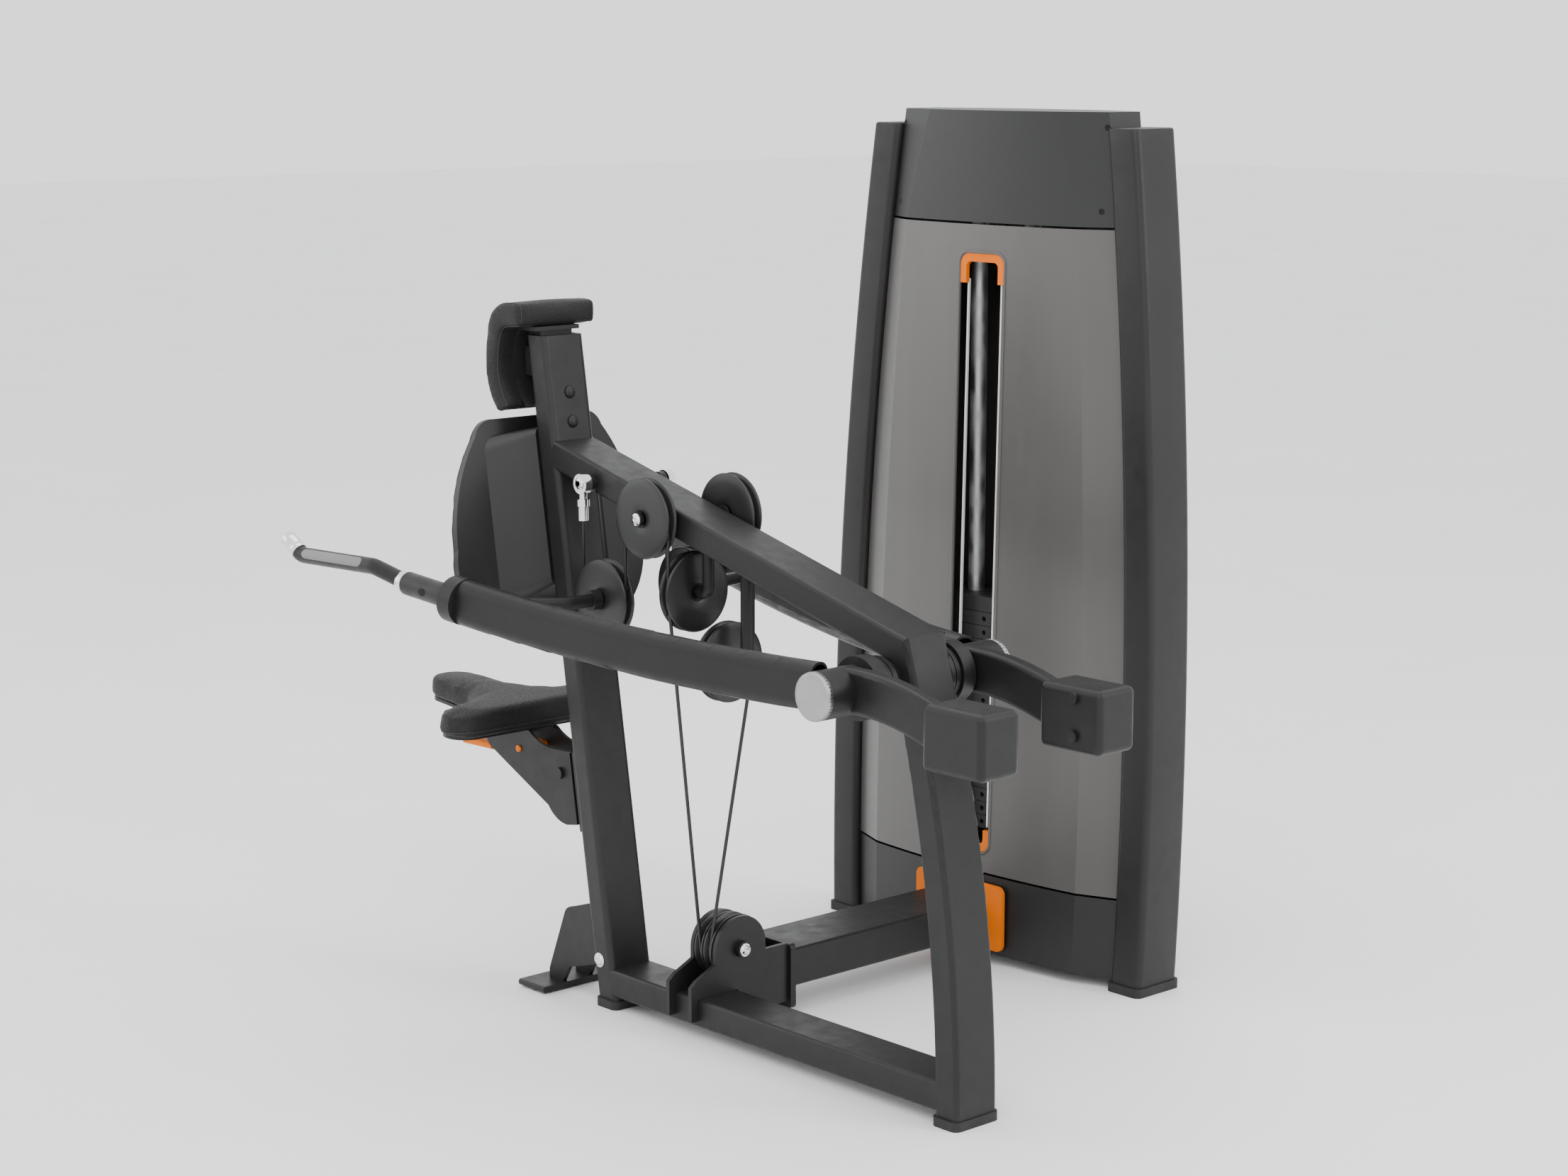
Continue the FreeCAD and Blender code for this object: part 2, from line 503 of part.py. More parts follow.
def build_seat():
    angle = math.degrees(math.atan(SEAT_RISE / (SEAT_REAR_X - SEAT_NOSE_X)))

    def laid(shape):
        shape.translate(V(0, MID_Y, SEAT_TOP_Z))
        shape.rotate(V(SEAT_REAR_X, MID_Y, SEAT_TOP_Z), V(0, 1, 0), angle)
        return shape

    pad = prism(seat_outline(0), V(0, 0, SEAT_T))
    pad.translate(V(0, 0, -SEAT_T))
    nodes["seat_pad"] = laid(pad)

    board = prism(seat_outline(14), V(0, 0, 6))
    board.translate(V(0, 0, -SEAT_T - 6))
    board = laid(board)
    cheeks = []
    for y in (15.0, 74.0):
        cheeks.append(prism([
            V(-1196, y, 452), V(-1196, y, 421), (V(-1193, y, 411), V(-1186, y, 405)),
            V(-1157, y, 391), V(-1020, y, 326), (V(-990, y, 304), V(-968, y, 300)),
            V(-940, y, 305), V(-959, y, 430), V(-998, y, 430), (V(-1040, y, 434), V(-1075, y, 452))],
            V(0, 6, 0)))
    hole = rod(V(-1102, 0, 414), V(-1102, 100, 414), 6 + FIT)
    cross_pin = rod(V(-985, 9, 390), V(-985, 86, 390), 10)
    top = box(-1196, -1075, 15, 80, 446, 452.5)
    below_board = beyond(V(SEAT_REAR_X, MID_Y, SEAT_TOP_Z - SEAT_T - 6),
                         V(SEAT_RISE, 0, SEAT_REAR_X - SEAT_NOSE_X))
    bracket = join(cheeks + [top, cross_pin]).cut([below_board, hole])
    nodes["seat_bracket"] = join([bracket, board])

    # The rail is welded to the column; the carriage wraps it and carries the bracket.
    rail = straight_bar(on_column(238, MID_Y, 5.2), on_column(560, MID_Y, 5.2), V(0, 1, 0),
                        40, 10, 2)
    holes = [rod(on_column(270 + 20 * k, MID_Y, -5), on_column(270 + 20 * k, MID_Y, 20), 5)
             for k in range(14)]
    nodes["seat_rail"] = rail.cut(holes)
    shell = straight_bar(on_column(300, MID_Y, 9.4), on_column(436, MID_Y, 9.4), V(0, 1, 0),
                         62, 17.6, 4)
    pocket = straight_bar(on_column(280, MID_Y, 4.2), on_column(460, MID_Y, 4.2), V(0, 1, 0),
                          41, 13, 1)
    carriage = shell.cut(pocket)
    plunger = rod(on_column(350, MID_Y, 14), on_column(350, MID_Y, 44), 11)
    carriage = carriage.fuse(plunger)
    nodes["seat_carriage"] = carriage
    nodes["seat_bracket"] = nodes["seat_bracket"].cut(shell)

    pivot = rod(V(-1102, 12, 414), V(-1102, 83, 414), 6)
    arm = bent_rod([V(-1102, MID_Y, 414), V(-1196, MID_Y, 398), V(-1218, MID_Y, 398)], 20, 6)
    grip = straight_bar(V(-1206, MID_Y, 398), V(-1290, MID_Y, 396), V(0, 1, 0), 34, 13, 5)
    boss = rod(V(-1102, MID_Y - 12, 414), V(-1102, MID_Y + 12, 414), 13)
    nodes["seat_lever"] = join([pivot, arm, grip, boss])


def build_pads():
    up = LEAN
    rear = FORWARD * -1
    origin = V(BACK_PLANE_X, MID_Y, BACK_Z)

    def at(y, z):
        return origin + V(0, y, 0) + up * ((z - BACK_Z) / up.z)

    right = [at(120, 637), (at(183, 690), at(200, 790)), (at(183, 893), at(138, 978)),
             (at(124, 998), at(98, 1005))]
    left = [at(-98, 1005), (at(-124, 998), at(-138, 978)), (at(-183, 893), at(-200, 790)),
            (at(-183, 690), at(-120, 637)), (at(0, 625), at(120, 637))]
    outline = right + left
    nodes["back_pad"] = prism(outline, rear * -BACK_T)
    skirt = prism(outline, rear * 12)
    hump_low = placed(rounded(300, 250, 30), at(0, 830) + rear * 10, rear, up).OuterWire
    hump_high = placed(rounded(270, 88, 12), at(0, 850) + rear * 57.6, rear, up).OuterWire
    hump = Part.makeLoft([hump_low, hump_high], True, True)
    nodes["back_shell"] = join([skirt, hump]).cut(column_solid())

    y0, y1 = HEAD_Y
    profile = [V(-1082, y0, 1016), (V(-1119, y0, 1090), V(-1114, y0, 1150)),
               (V(-1098, y0, 1191), V(-1058, y0, 1208)), V(-1016, y0, 1208), V(-1016, y0, 1166),
               V(-1060, y0, 1166), (V(-1072, y0, 1160), V(-1078, y0, 1148)),
               (V(-1085, y0, 1086), V(-1050, y0, 1026))]
    nodes["head_pad"] = prism(profile, V(0, y1 - y0, 0))
    board = prism([V(-1049, 0, 1027), (V(-1084, 0, 1086), V(-1077, 0, 1148)),
                   (V(-1071, 0, 1159), V(-1060, 0, 1165)), V(-1019, 0, 1165), V(-1019, 0, 1158),
                   V(-1058, 0, 1158), (V(-1065, 0, 1153), V(-1069, 0, 1146)),
                   (V(-1076, 0, 1086), V(-1041, 0, 1030))], V(0, MID_Y * 2, 0))
    mount = box(-1056, -1022, 14, 81, 1150, 1158)
    front = box(-1074, -1030, 20, 75, 1078, 1128)
    nodes["head_board"] = join([board, mount, front]).cut(column_solid())


# ---- weight tower -----------------------------------------------------------------------------
def tower_half(z):
    """Outer half width of the tower, bowed outward low down and drawn in at the top."""
    return 390 + 0.03733 * z - 5.689e-5 * z * z


def inner_half(z):
    return tower_half(z) - TOWER_COLUMN_W - 0.5


def crease_half(z):
    return 0.77 * inner_half(z) if z < HOOD_SEAM else 0.77 * inner_half(z) - 0.17 * (z - HOOD_SEAM)


def mid_y(z):
    return TOWER_MID_Y + TOWER_LEAN * z


def side_wire(z, front, inset):
    """One side of the shroud's section from end to end: side facet, bowed face, side facet."""
    e, c, y = inner_half(z) - inset * 0.2, crease_half(z) - inset * 0.3, mid_y(z)
    s = -1 if front else 1
    b, k, r = BOW - inset, CREASE - inset, RETURN - inset
    return [V(TOWER_X - e, y + s * r, z), V(TOWER_X - c, y + s * k, z),
            (V(TOWER_X, y + s * b, z), V(TOWER_X + c, y + s * k, z)), V(TOWER_X + e, y + s * r, z)]


def half_shell(z0, z1, front):
    """The front or rear cover between two heights."""
    levels = [z0, (z0 + z1) / 2, z1]
    sections = []
    for z in levels:
        outer = side_wire(z, front, 0)
        inner = side_wire(z, front, SKIN)
        back = [inner[3], inner[2][1], (inner[2][0], inner[1]), inner[0]]
        sections.append(wire_of(outer + back))
    return Part.makeLoft(sections, True, False)


def full_section(z, inset):
    front = side_wire(z, True, inset)
    rear = side_wire(z, False, inset)
    return wire_of(front + [rear[3], rear[2][1], (rear[2][0], rear[1]), rear[0]])


def leaning(z, ahead):
    """A point on the tower's middle line, ahead of the bowed front."""
    return V(TOWER_X, mid_y(z) - BOW - ahead, z)


def build_tower_case():
    across = V(0, 1, 0)
    solids = []
    for side, name in ((-1, "tower_column_left"), (1, "tower_column_right")):
        line = [V(TOWER_X + side * (tower_half(z) - TOWER_COLUMN_W / 2), mid_y(z), z)
                for z in (2.0, 750.0, 1515.0)]
        clip = box(-1300, 0, 500, 1100, 16, TOWER_H)
        solid = curved_bar(line, across, TOWER_COLUMN_D, TOWER_COLUMN_W, 12).common(clip)
        hollow = curved_bar(line, across, TOWER_COLUMN_D - 6, TOWER_COLUMN_W - 6, 9)
        nodes[name] = solid.cut(hollow.common(box(-1300, 0, 500, 1100, 0, TOWER_H - 4)))
        solids.append(solid)

    hood_low, hood_high = HOOD_SEAM + SEAM / 2, HOOD_TOP
    middle = (hood_low + hood_high) / 2
    outer = Part.makeLoft([full_section(z, 0) for z in (hood_low, middle, hood_high)], True, False)
    inner = Part.makeLoft([full_section(z, SKIN) for z in
                           (hood_low - 1, middle, hood_high - SKIN)], True, False)
    beam_way = box(TOWER_X - 300, TOWER_X + 300, 764.5, 835.5, 1451.5, 1496.5)
    nodes["tower_hood"] = outer.cut(inner).cut(solids + [beam_way])

    up = V(0, TOWER_LEAN, 1)
    out = V(0, -1, TOWER_LEAN)
    mid_slot = (SLOT_Z[0] + SLOT_Z[1]) / 2
    height = SLOT_Z[1] - SLOT_Z[0]
    hole = placed(rounded(height + 1, SLOT_W + 1, 20.5), leaning(mid_slot, 20), out * -1, up)
    shroud = half_shell(PLINTH_SEAM + SEAM / 2, HOOD_SEAM - SEAM / 2, True)
    nodes["tower_front_shroud"] = shroud.cut([hole.extrude(out * -40)] + solids)
    rear = half_shell(PLINTH_SEAM + SEAM / 2, HOOD_SEAM - SEAM / 2, False)
    nodes["tower_rear_shroud"] = rear.cut(solids)
    beam_way = straight_bar(V(-664, 600, 83.5), V(-664, 760, 83.5), V(1, 0, 0), 133, 68, 8)
    foot_way = box(TOWER_X - 360, TOWER_X + 360, 731.5, 792.5, 21.5, 62.5)
    front = half_shell(PLINTH_BOTTOM, PLINTH_SEAM - SEAM / 2, True)
    front = front.cut([beam_way, foot_way] + solids)
    rear = half_shell(PLINTH_BOTTOM, PLINTH_SEAM - SEAM / 2, False).cut([foot_way] + solids)
    nodes["tower_plinth"] = Part.makeCompound([front, rear])

    frame = placed(rounded(height, SLOT_W, 20), leaning(mid_slot, -0.8), out * -1, up)
    gap = placed(rounded(height - 2 * SLOT_BAND, SLOT_W - 2 * SLOT_BAND, 10),
                 leaning(mid_slot, 20), out * -1, up)
    # The trim is one U at each end of the slot.
    sides = placed(rounded(height - 93, SLOT_W + 40, 1), leaning(mid_slot - 5.5, 20), out * -1, up)
    nodes["slot_trim"] = frame.extrude(out * -8).cut([gap.extrude(out * -60),
                                                      sides.extrude(out * -60)])
    strips = []
    for side in (-1, 1):
        base = leaning(mid_slot, -9.2) + V(side * (SLOT_W / 2 - SLOT_BAND - 2), 0, 0)
        strips.append(placed(rounded(height - 90, 12, 3), base, out * -1, up).extrude(out * -4))
    nodes["slot_light_strips"] = Part.makeCompound(strips)
    return solids


def build_tower_works(columns):
    guides = []
    for side in (-1, 1):
        x = TOWER_X + side * GUIDE_SPREAD
        guides.append(rod(V(x, STACK_Y, 208), V(x, STACK_Y, 1452), GUIDE_R))
    nodes["guide_rods"] = Part.makeCompound(guides)

    y, z = LOWER_PULLEY
    cross = straight_bar(V(TOWER_X - 360, 762, 42), V(TOWER_X + 360, 762, 42), V(0, 1, 0),
                         60, 40, 6, 4)
    deck = box(TOWER_X - 150, TOWER_X + 150, 724, 824, 200, 208)
    cheeks = [box(x, x + 8, 742, 822, 56, 204) for x in (-671.0, -614.0)]
    axle = rod(V(-680, y, z), V(-597, y, z), AXLE_R)
    legs = [box(x, x + 20, 742, 822, 56, 204) for x in (TOWER_X - 140, TOWER_X + 120)]
    nodes["tower_base"] = join([cross, deck, axle] + cheeks + legs).cut(columns)
    buffers = [ring(V(TOWER_X + side * GUIDE_SPREAD, STACK_Y, 208),
                    V(TOWER_X + side * GUIDE_SPREAD, STACK_Y, STACK_BOTTOM), 27, GUIDE_R + 0.4)
               for side in (-1, 1)]
    nodes["stack_buffers"] = Part.makeCompound(buffers)

    # One sheave carries the lifting cable from the yoke over to the stack.
    yoke_top, stack_top = V(YOKE_X, RISER_Y, 0), V(TOWER_X, STACK_Y, 0)
    centre = (yoke_top + stack_top) * 0.5 + V(0, 0, TOP_PULLEY_Z)
    reach = (stack_top - yoke_top).Length / 2
    flat = (stack_top - yoke_top).normalize()
    axis = V(0, 0, 1).cross(flat)
    nodes["top_pulley"] = pulley(centre, axis, reach, reach + 9, 20, 24)
    beam = straight_bar(V(TOWER_X - 300, 800, 1474), V(TOWER_X + 300, 800, 1474), V(0, 1, 0),
                        70, 44, 6, 4)
    hangers = []
    for side in (-1, 1):
        cheek = placed(rounded(44, 120, 8), centre + axis * (side * 13) + V(0, 0, 22), axis * side,
                       flat).extrude(axis * (side * 7))
        hangers.append(cheek)
    pin = rod(centre - axis * 26, centre + axis * 26, AXLE_R)
    nodes["top_crossmember"] = join([beam, pin] + hangers).cut(columns)
    start = V(YOKE_X, RISER_Y, YOKE_Z[1] - 6)
    end = V(TOWER_X, STACK_Y, STACK_BOTTOM + PLATE_PITCH * PLATE_COUNT + 52)
    nodes["lifting_cable"] = cable(
        start, V(YOKE_X, RISER_Y, TOP_PULLEY_Z),
        (centre + V(0, 0, reach), V(TOWER_X, STACK_Y, TOP_PULLEY_Z)), end)

    def plate(index):
        z0 = STACK_BOTTOM + PLATE_PITCH * index
        body = straight_bar(V(TOWER_X, STACK_Y, z0), V(TOWER_X, STACK_Y, z0 + PLATE_T),
                            V(1, 0, 0), PLATE_W, PLATE_D, 8)
        cuts = [rod(V(TOWER_X + s * GUIDE_SPREAD, STACK_Y, z0 - 1),
                    V(TOWER_X + s * GUIDE_SPREAD, STACK_Y, z0 + 30), GUIDE_R + 0.08)
                for s in (-1, 1)]
        cuts.append(rod(V(TOWER_X, STACK_Y, z0 - 1), V(TOWER_X, STACK_Y, z0 + 30),
                        SELECTOR_R + 0.08))
        cuts.append(rod(V(TOWER_X, STACK_Y - 80, z0 + 12), V(TOWER_X, STACK_Y, z0 + 12), 4.58))
        return body.cut(cuts)

    resting = PLATE_COUNT - SELECTED
    nodes["resting_plates"] = Part.makeCompound([plate(i) for i in range(resting)])
    nodes["selected_plates"] = Part.makeCompound([plate(i) for i in range(resting, PLATE_COUNT)])
    top = STACK_BOTTOM + PLATE_PITCH * PLATE_COUNT
    pin_z = STACK_BOTTOM + PLATE_PITCH * resting + 12
    cap = straight_bar(V(TOWER_X, STACK_Y, top), V(TOWER_X, STACK_Y, top + 28), V(1, 0, 0),
                       PLATE_W, PLATE_D, 8)
    cap = cap.cut([rod(V(TOWER_X + s * GUIDE_SPREAD, STACK_Y, top - 1),
                       V(TOWER_X + s * GUIDE_SPREAD, STACK_Y, top + 30), GUIDE_R + 0.08)
                   for s in (-1, 1)])
    selector = rod(V(TOWER_X, STACK_Y, 250), V(TOWER_X, STACK_Y, top + 28), SELECTOR_R)
    socket = rod(V(TOWER_X, STACK_Y, top + 28), V(TOWER_X, STACK_Y, top + 60), 14)
    cuts = [rod(V(TOWER_X, STACK_Y - 30, STACK_BOTTOM + PLATE_PITCH * i + 12),
                V(TOWER_X, STACK_Y + 30, STACK_BOTTOM + PLATE_PITCH * i + 12), 4.58)
            for i in range(1, PLATE_COUNT)]
    cuts.append(rod(V(TOWER_X, STACK_Y, top + 50), V(TOWER_X, STACK_Y, top + 70), CABLE_R))
    nodes["top_plate"] = join([cap, selector, socket]).cut(cuts)
    stem = rod(V(TOWER_X, 702, pin_z), V(TOWER_X, STACK_Y + 10, pin_z), 4.5)
    knob = rod(V(TOWER_X, 684, pin_z), V(TOWER_X, 703, pin_z), 13)
    knob = knob.makeFillet(3, knob.Edges[:1])
    nodes["selector_pin"] = join([stem, knob])

    block = straight_bar(V(YOKE_X, RISER_Y, YOKE_Z[0]), V(YOKE_X, RISER_Y, YOKE_Z[1]),
                         V(1, 0, 0), 56, 26, 6)
    ways = [rod(V(x, RISER_Y, YOKE_Z[0] - 1), V(x, RISER_Y, YOKE_Z[0] + 6), CABLE_R)
            for x in (NEAR_BASE_X, FAR_BASE_X)]
    ways.append(rod(start, start + V(0, 0, 20), CABLE_R))
    nodes["yoke"] = block.cut(ways)


def build_bolts():
    """Dome bolts on the seat frame."""
    heads = []
    for z in (1000.0, 1050.0):
        base = V(column_x(z), MID_Y, z) - FORWARD * (COLUMN_DEPTH / 2)
        heads.append(rod(base, base - FORWARD * 6, 9))
    heads.append(rod(V(-867, NEAR_FACE, 81), V(-867, NEAR_FACE - 6, 81), 9))
    nodes["frame_bolts"] = Part.makeCompound(heads)


build_seat_frame()
build_connecting_beam()
build_arms()
build_pulleys()
build_cables()
build_seat()
build_pads()
build_tower_works(build_tower_case())
build_bolts()

# ---- put the origin under the middle of the footprint, and write the pieces ------------------
whole = FreeCAD.BoundBox()
for shape in nodes.values():
    whole.add(shape.optimalBoundingBox(False))
shift = V(-(whole.XMin + whole.XMax) / 2, -(whole.YMin + whole.YMax) / 2, -whole.ZMin)
print("shift", round(shift.x, 3), round(shift.y, 3), round(shift.z, 3))
os.makedirs("parts", exist_ok=True)
for name, shape in nodes.items():
    shape.translate(shift)
    shape.exportStep(f"parts/{name}.step")
    size = shape.BoundBox
    print(name, shape.isValid(), len(shape.Solids), round(shape.Volume / 1000),
          [round(v) for v in (size.XMin, size.XMax, size.YMin, size.YMax, size.ZMin, size.ZMax)])
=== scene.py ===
import json
import math

import bmesh
import bpy
from mathutils import Matrix, Vector


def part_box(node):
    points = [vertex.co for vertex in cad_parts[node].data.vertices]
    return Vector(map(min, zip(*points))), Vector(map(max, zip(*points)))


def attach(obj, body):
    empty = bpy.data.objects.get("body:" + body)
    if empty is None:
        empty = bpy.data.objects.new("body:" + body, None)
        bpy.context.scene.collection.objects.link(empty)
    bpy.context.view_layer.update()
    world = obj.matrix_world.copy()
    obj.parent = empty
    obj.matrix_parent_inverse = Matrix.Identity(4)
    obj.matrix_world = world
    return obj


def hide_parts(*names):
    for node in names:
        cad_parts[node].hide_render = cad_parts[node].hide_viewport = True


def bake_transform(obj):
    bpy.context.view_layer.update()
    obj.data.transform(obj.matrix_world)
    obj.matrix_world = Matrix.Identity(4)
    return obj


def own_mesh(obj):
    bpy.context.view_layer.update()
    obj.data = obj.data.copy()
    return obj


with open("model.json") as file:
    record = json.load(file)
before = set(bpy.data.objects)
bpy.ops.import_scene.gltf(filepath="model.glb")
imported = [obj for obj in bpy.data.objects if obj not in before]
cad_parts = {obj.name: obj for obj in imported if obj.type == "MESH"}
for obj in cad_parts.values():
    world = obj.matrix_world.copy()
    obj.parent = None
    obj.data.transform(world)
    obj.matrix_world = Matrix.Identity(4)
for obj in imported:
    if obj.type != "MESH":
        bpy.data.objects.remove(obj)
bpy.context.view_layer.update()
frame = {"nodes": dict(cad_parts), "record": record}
nodes = frame["nodes"]

# The viewpoint in the row frame: metres, degrees, and millimetres for the lens.
CAMERA_AT = Vector((3.767, -3.530, 1.6394))
CAMERA_TURN, CAMERA_DIP = 47.65, 9.98
LENS, SENSOR = 70.91, 36.0


# ---- node materials ---------------------------------------------------------------------------
# The sockets of a Mix node that mixes colours.
MIX_FACTOR, MIX_A, MIX_B, MIX_RESULT = 0, 6, 7, 2


class Shader:
    """A small helper that builds one procedural material."""

    def __init__(self, name, rough=0.5, metal=0.0, **fixed):
        self.mat = bpy.data.materials.new(name)
        self.mat.use_nodes = True
        self.tree = self.mat.node_tree
        self.bsdf = self.tree.nodes["Principled BSDF"]
        self.bsdf.inputs["Roughness"].default_value = rough
        self.bsdf.inputs["Metallic"].default_value = metal
        for key, value in fixed.items():
            self.bsdf.inputs[key.replace("_", " ")].default_value = value
        self.coords = self.tree.nodes.new("ShaderNodeTexCoord").outputs["Object"]

    def node(self, kind, **values):
        n = self.tree.nodes.new("ShaderNode" + kind)
        for key, value in values.items():
            if isinstance(value, bpy.types.NodeSocket):
                self.tree.links.new(value, n.inputs[key.replace("_", " ")])
            elif key in n.inputs or key.replace("_", " ") in n.inputs:
                n.inputs[key.replace("_", " ")].default_value = value
            else:
                setattr(n, key, value)
        return n

    def link(self, output, socket):
        self.tree.links.new(output, self.bsdf.inputs[socket])

    def noise(self, scale, detail=3.0, rough=0.55, vector=None):
        n = self.node("TexNoise", Vector=vector or self.coords, Scale=scale, Detail=detail,
                      Roughness=rough)
        return n.outputs["Fac"]

    def ramp(self, fac, stops):
        n = self.node("ValToRGB", Fac=fac)
        ramp = n.color_ramp
        while len(ramp.elements) < len(stops):
            ramp.elements.new(0.5)
        for element, (at, colour) in zip(ramp.elements, stops):
            element.position = at
            element.color = (*colour, 1.0)
        return n.outputs["Color"]

    def spread(self, fac, low, high, start=0.3, end=0.7):
        n = self.node("MapRange", Value=fac, From_Min=start, From_Max=end, To_Min=low,
                      To_Max=high)
        return n.outputs["Result"]

    def bump(self, height, strength, distance, normal=None):
        n = self.node("Bump", Height=height, Strength=strength, Distance=distance)
        if normal:
            self.tree.links.new(normal, n.inputs["Normal"])
        return n.outputs["Normal"]

    def painted_edge_highlight(self, amount=0.6, start=0.52, end=0.62):
        """A painted highlight: bright along sharp outer edges, zero on flats."""
        point = self.node("NewGeometry").outputs["Pointiness"]
        return self.spread(point, 0.0, amount, start, end)


def grey(value, warm=0.0):
    return (value * (1 + warm), value, value * (1 - warm))


def powder_coat(name, tone, warm=0.02, rough=0.42, grain=1400.0):
    """Textured satin powder coat: an orange-peel skin, with a painted highlight that lightens its
    sharp edges.
    """
    s = Shader(name, rough, Specular_IOR_Level=0.3)
    wide = s.noise(6.0, 4.0)
    base = s.ramp(wide, [(0.3, grey(tone * 0.86, warm)), (0.7, grey(tone * 1.12, warm))])
    # Painted highlight: sharp outer edges are mixed towards a tone almost twice as light.
    mix = s.node("Mix", data_type="RGBA", blend_type="MIX")
    s.tree.links.new(s.painted_edge_highlight(0.55), mix.inputs[MIX_FACTOR])
    s.tree.links.new(base, mix.inputs[MIX_A])
    mix.inputs[MIX_B].default_value = (*grey(tone * 1.9, warm), 1.0)
    s.link(mix.outputs[MIX_RESULT], "Base Color")
    s.link(s.spread(s.noise(38.0, 5.0), rough - 0.05, rough + 0.09), "Roughness")
    peel = s.noise(grain, 2.0, 0.6)
    s.link(s.bump(peel, 0.22, 0.0004), "Normal")
    return s.mat


def satin_paint(name, tone, warm, rough=0.3):
    """Smooth sprayed panel with a broad soft sheen and a faint vertical drift in tone."""
    s = Shader(name, rough, Coat_Weight=0.25, Coat_Roughness=0.28)
    stretch = s.node("Mapping", Vector=s.coords, Scale=(3.0, 3.0, 0.35)).outputs["Vector"]
    drift = s.noise(4.0, 3.0, vector=stretch)
    s.link(s.ramp(drift, [(0.3, grey(tone * 0.93, warm)), (0.7, grey(tone * 1.07, warm))]),
           "Base Color")
    s.link(s.spread(s.noise(55.0, 4.0), rough - 0.03, rough + 0.06), "Roughness")
    s.link(s.bump(s.noise(900.0, 2.0), 0.1, 0.0003), "Normal")
    return s.mat


def colour_paint(name, colour, rough):
    """Coloured powder coat with a low sheen and a slight unevenness in tone."""
    s = Shader(name, rough, Specular_IOR_Level=0.12)
    dark = tuple(c * 0.86 for c in colour)
    s.link(s.ramp(s.noise(9.0, 4.0), [(0.3, dark), (0.7, colour)]), "Base Color")
    s.link(s.spread(s.noise(60.0, 4.0), rough - 0.06, rough + 0.1), "Roughness")
    s.link(s.bump(s.noise(1200.0, 2.0), 0.15, 0.0003), "Normal")
    return s.mat


def moulded(name, tone, warm, rough, grain=1600.0, depth=0.3):
    """Moulded plastic with a fine spark-eroded grain."""
    s = Shader(name, rough, Specular_IOR_Level=0.45)
    tones = [(0.3, grey(tone * 0.95, warm)), (0.7, grey(tone * 1.05, warm))]
    s.link(s.ramp(s.noise(8.0, 4.0), tones), "Base Color")
    s.link(s.spread(s.noise(160.0, 4.0), rough - 0.02, rough + 0.03), "Roughness")
    cells = s.node("TexVoronoi", Vector=s.coords, Scale=grain).outputs["Distance"]
    s.link(s.bump(cells, depth, 0.0002), "Normal")
    return s.mat


def bare_metal(name, tone, rough, streak_scale=(2.0, 2.0, 160.0)):
    """Plated or drawn metal: fine streaks, smudges in the roughness."""
    s = Shader(name, rough, 1.0)
    lay = s.node("Mapping", Vector=s.coords, Scale=streak_scale).outputs["Vector"]
    streaks = s.noise(6.0, 4.0, vector=lay)
    s.link(s.ramp(streaks, [(0.3, grey(tone * 0.92)), (0.7, grey(tone))]), "Base Color")
    s.link(s.spread(s.noise(26.0, 5.0), rough * 0.7, rough * 1.5), "Roughness")
    s.link(s.bump(streaks, 0.06, 0.0002), "Normal")
    return s.mat


def rubber(name, tone):
    """Matt black rubber, mottled and slightly pitted."""
    s = Shader(name, 0.75, Specular_IOR_Level=0.35)
    s.link(s.ramp(s.noise(25.0, 5.0), [(0.3, grey(tone * 0.8)), (0.75, grey(tone * 1.4))]),
           "Base Color")
    s.link(s.bump(s.noise(420.0, 4.0), 0.35, 0.0006), "Normal")
    return s.mat


def leather(name, tone, warm):
    """Coarse pebbled upholstery: packed cells and fine wrinkles, with painted shade darkening the
    valleys between the cells.
    """
    s = Shader(name, 0.56, Sheen_Weight=0.03, Sheen_Roughness=0.4, Specular_IOR_Level=0.3)
    warp = s.node("TexNoise", Vector=s.coords, Scale=90.0, Detail=2.0)
    offset = s.node("VectorMath", operation="SCALE")
    s.tree.links.new(warp.outputs["Color"], offset.inputs[0])
    offset.inputs["Scale"].default_value = 0.006
    moved = s.node("VectorMath", operation="ADD")
    s.tree.links.new(s.coords, moved.inputs[0])
    s.tree.links.new(offset.outputs[0], moved.inputs[1])
    cells = s.node("TexVoronoi", Vector=moved.outputs[0], Scale=430.0, feature="F1")
    tops = s.spread(cells.outputs["Distance"], 1.0, 0.0, 0.15, 0.75)
    fine = s.noise(1500.0, 3.0)
    # Painted shade: the colour darkens from the cell tops down into the valleys.
    base = s.ramp(tops, [(0.05, grey(tone * 0.72, warm)), (0.55, grey(tone, warm)),
                         (1.0, grey(tone * 1.12, warm))])
    s.link(base, "Base Color")
    s.link(s.spread(tops, 0.7, 0.48, 0.1, 0.9), "Roughness")
    wrinkles = s.bump(fine, 0.12, 0.0003)
    s.link(s.bump(tops, 0.45, 0.0006, wrinkles), "Normal")
    return s.mat


def pale_plastic(name):
    """The pale, slightly translucent strips beside the tower's slot."""
    s = Shader(name, 0.3, Transmission_Weight=0.1)
    s.link(s.ramp(s.noise(14.0, 3.0), [(0.3, grey(0.62, 0.01)), (0.7, grey(0.74, 0.01))]),
           "Base Color")
    s.link(s.bump(s.noise(300.0, 2.0), 0.1, 0.0003), "Normal")
    return s.mat


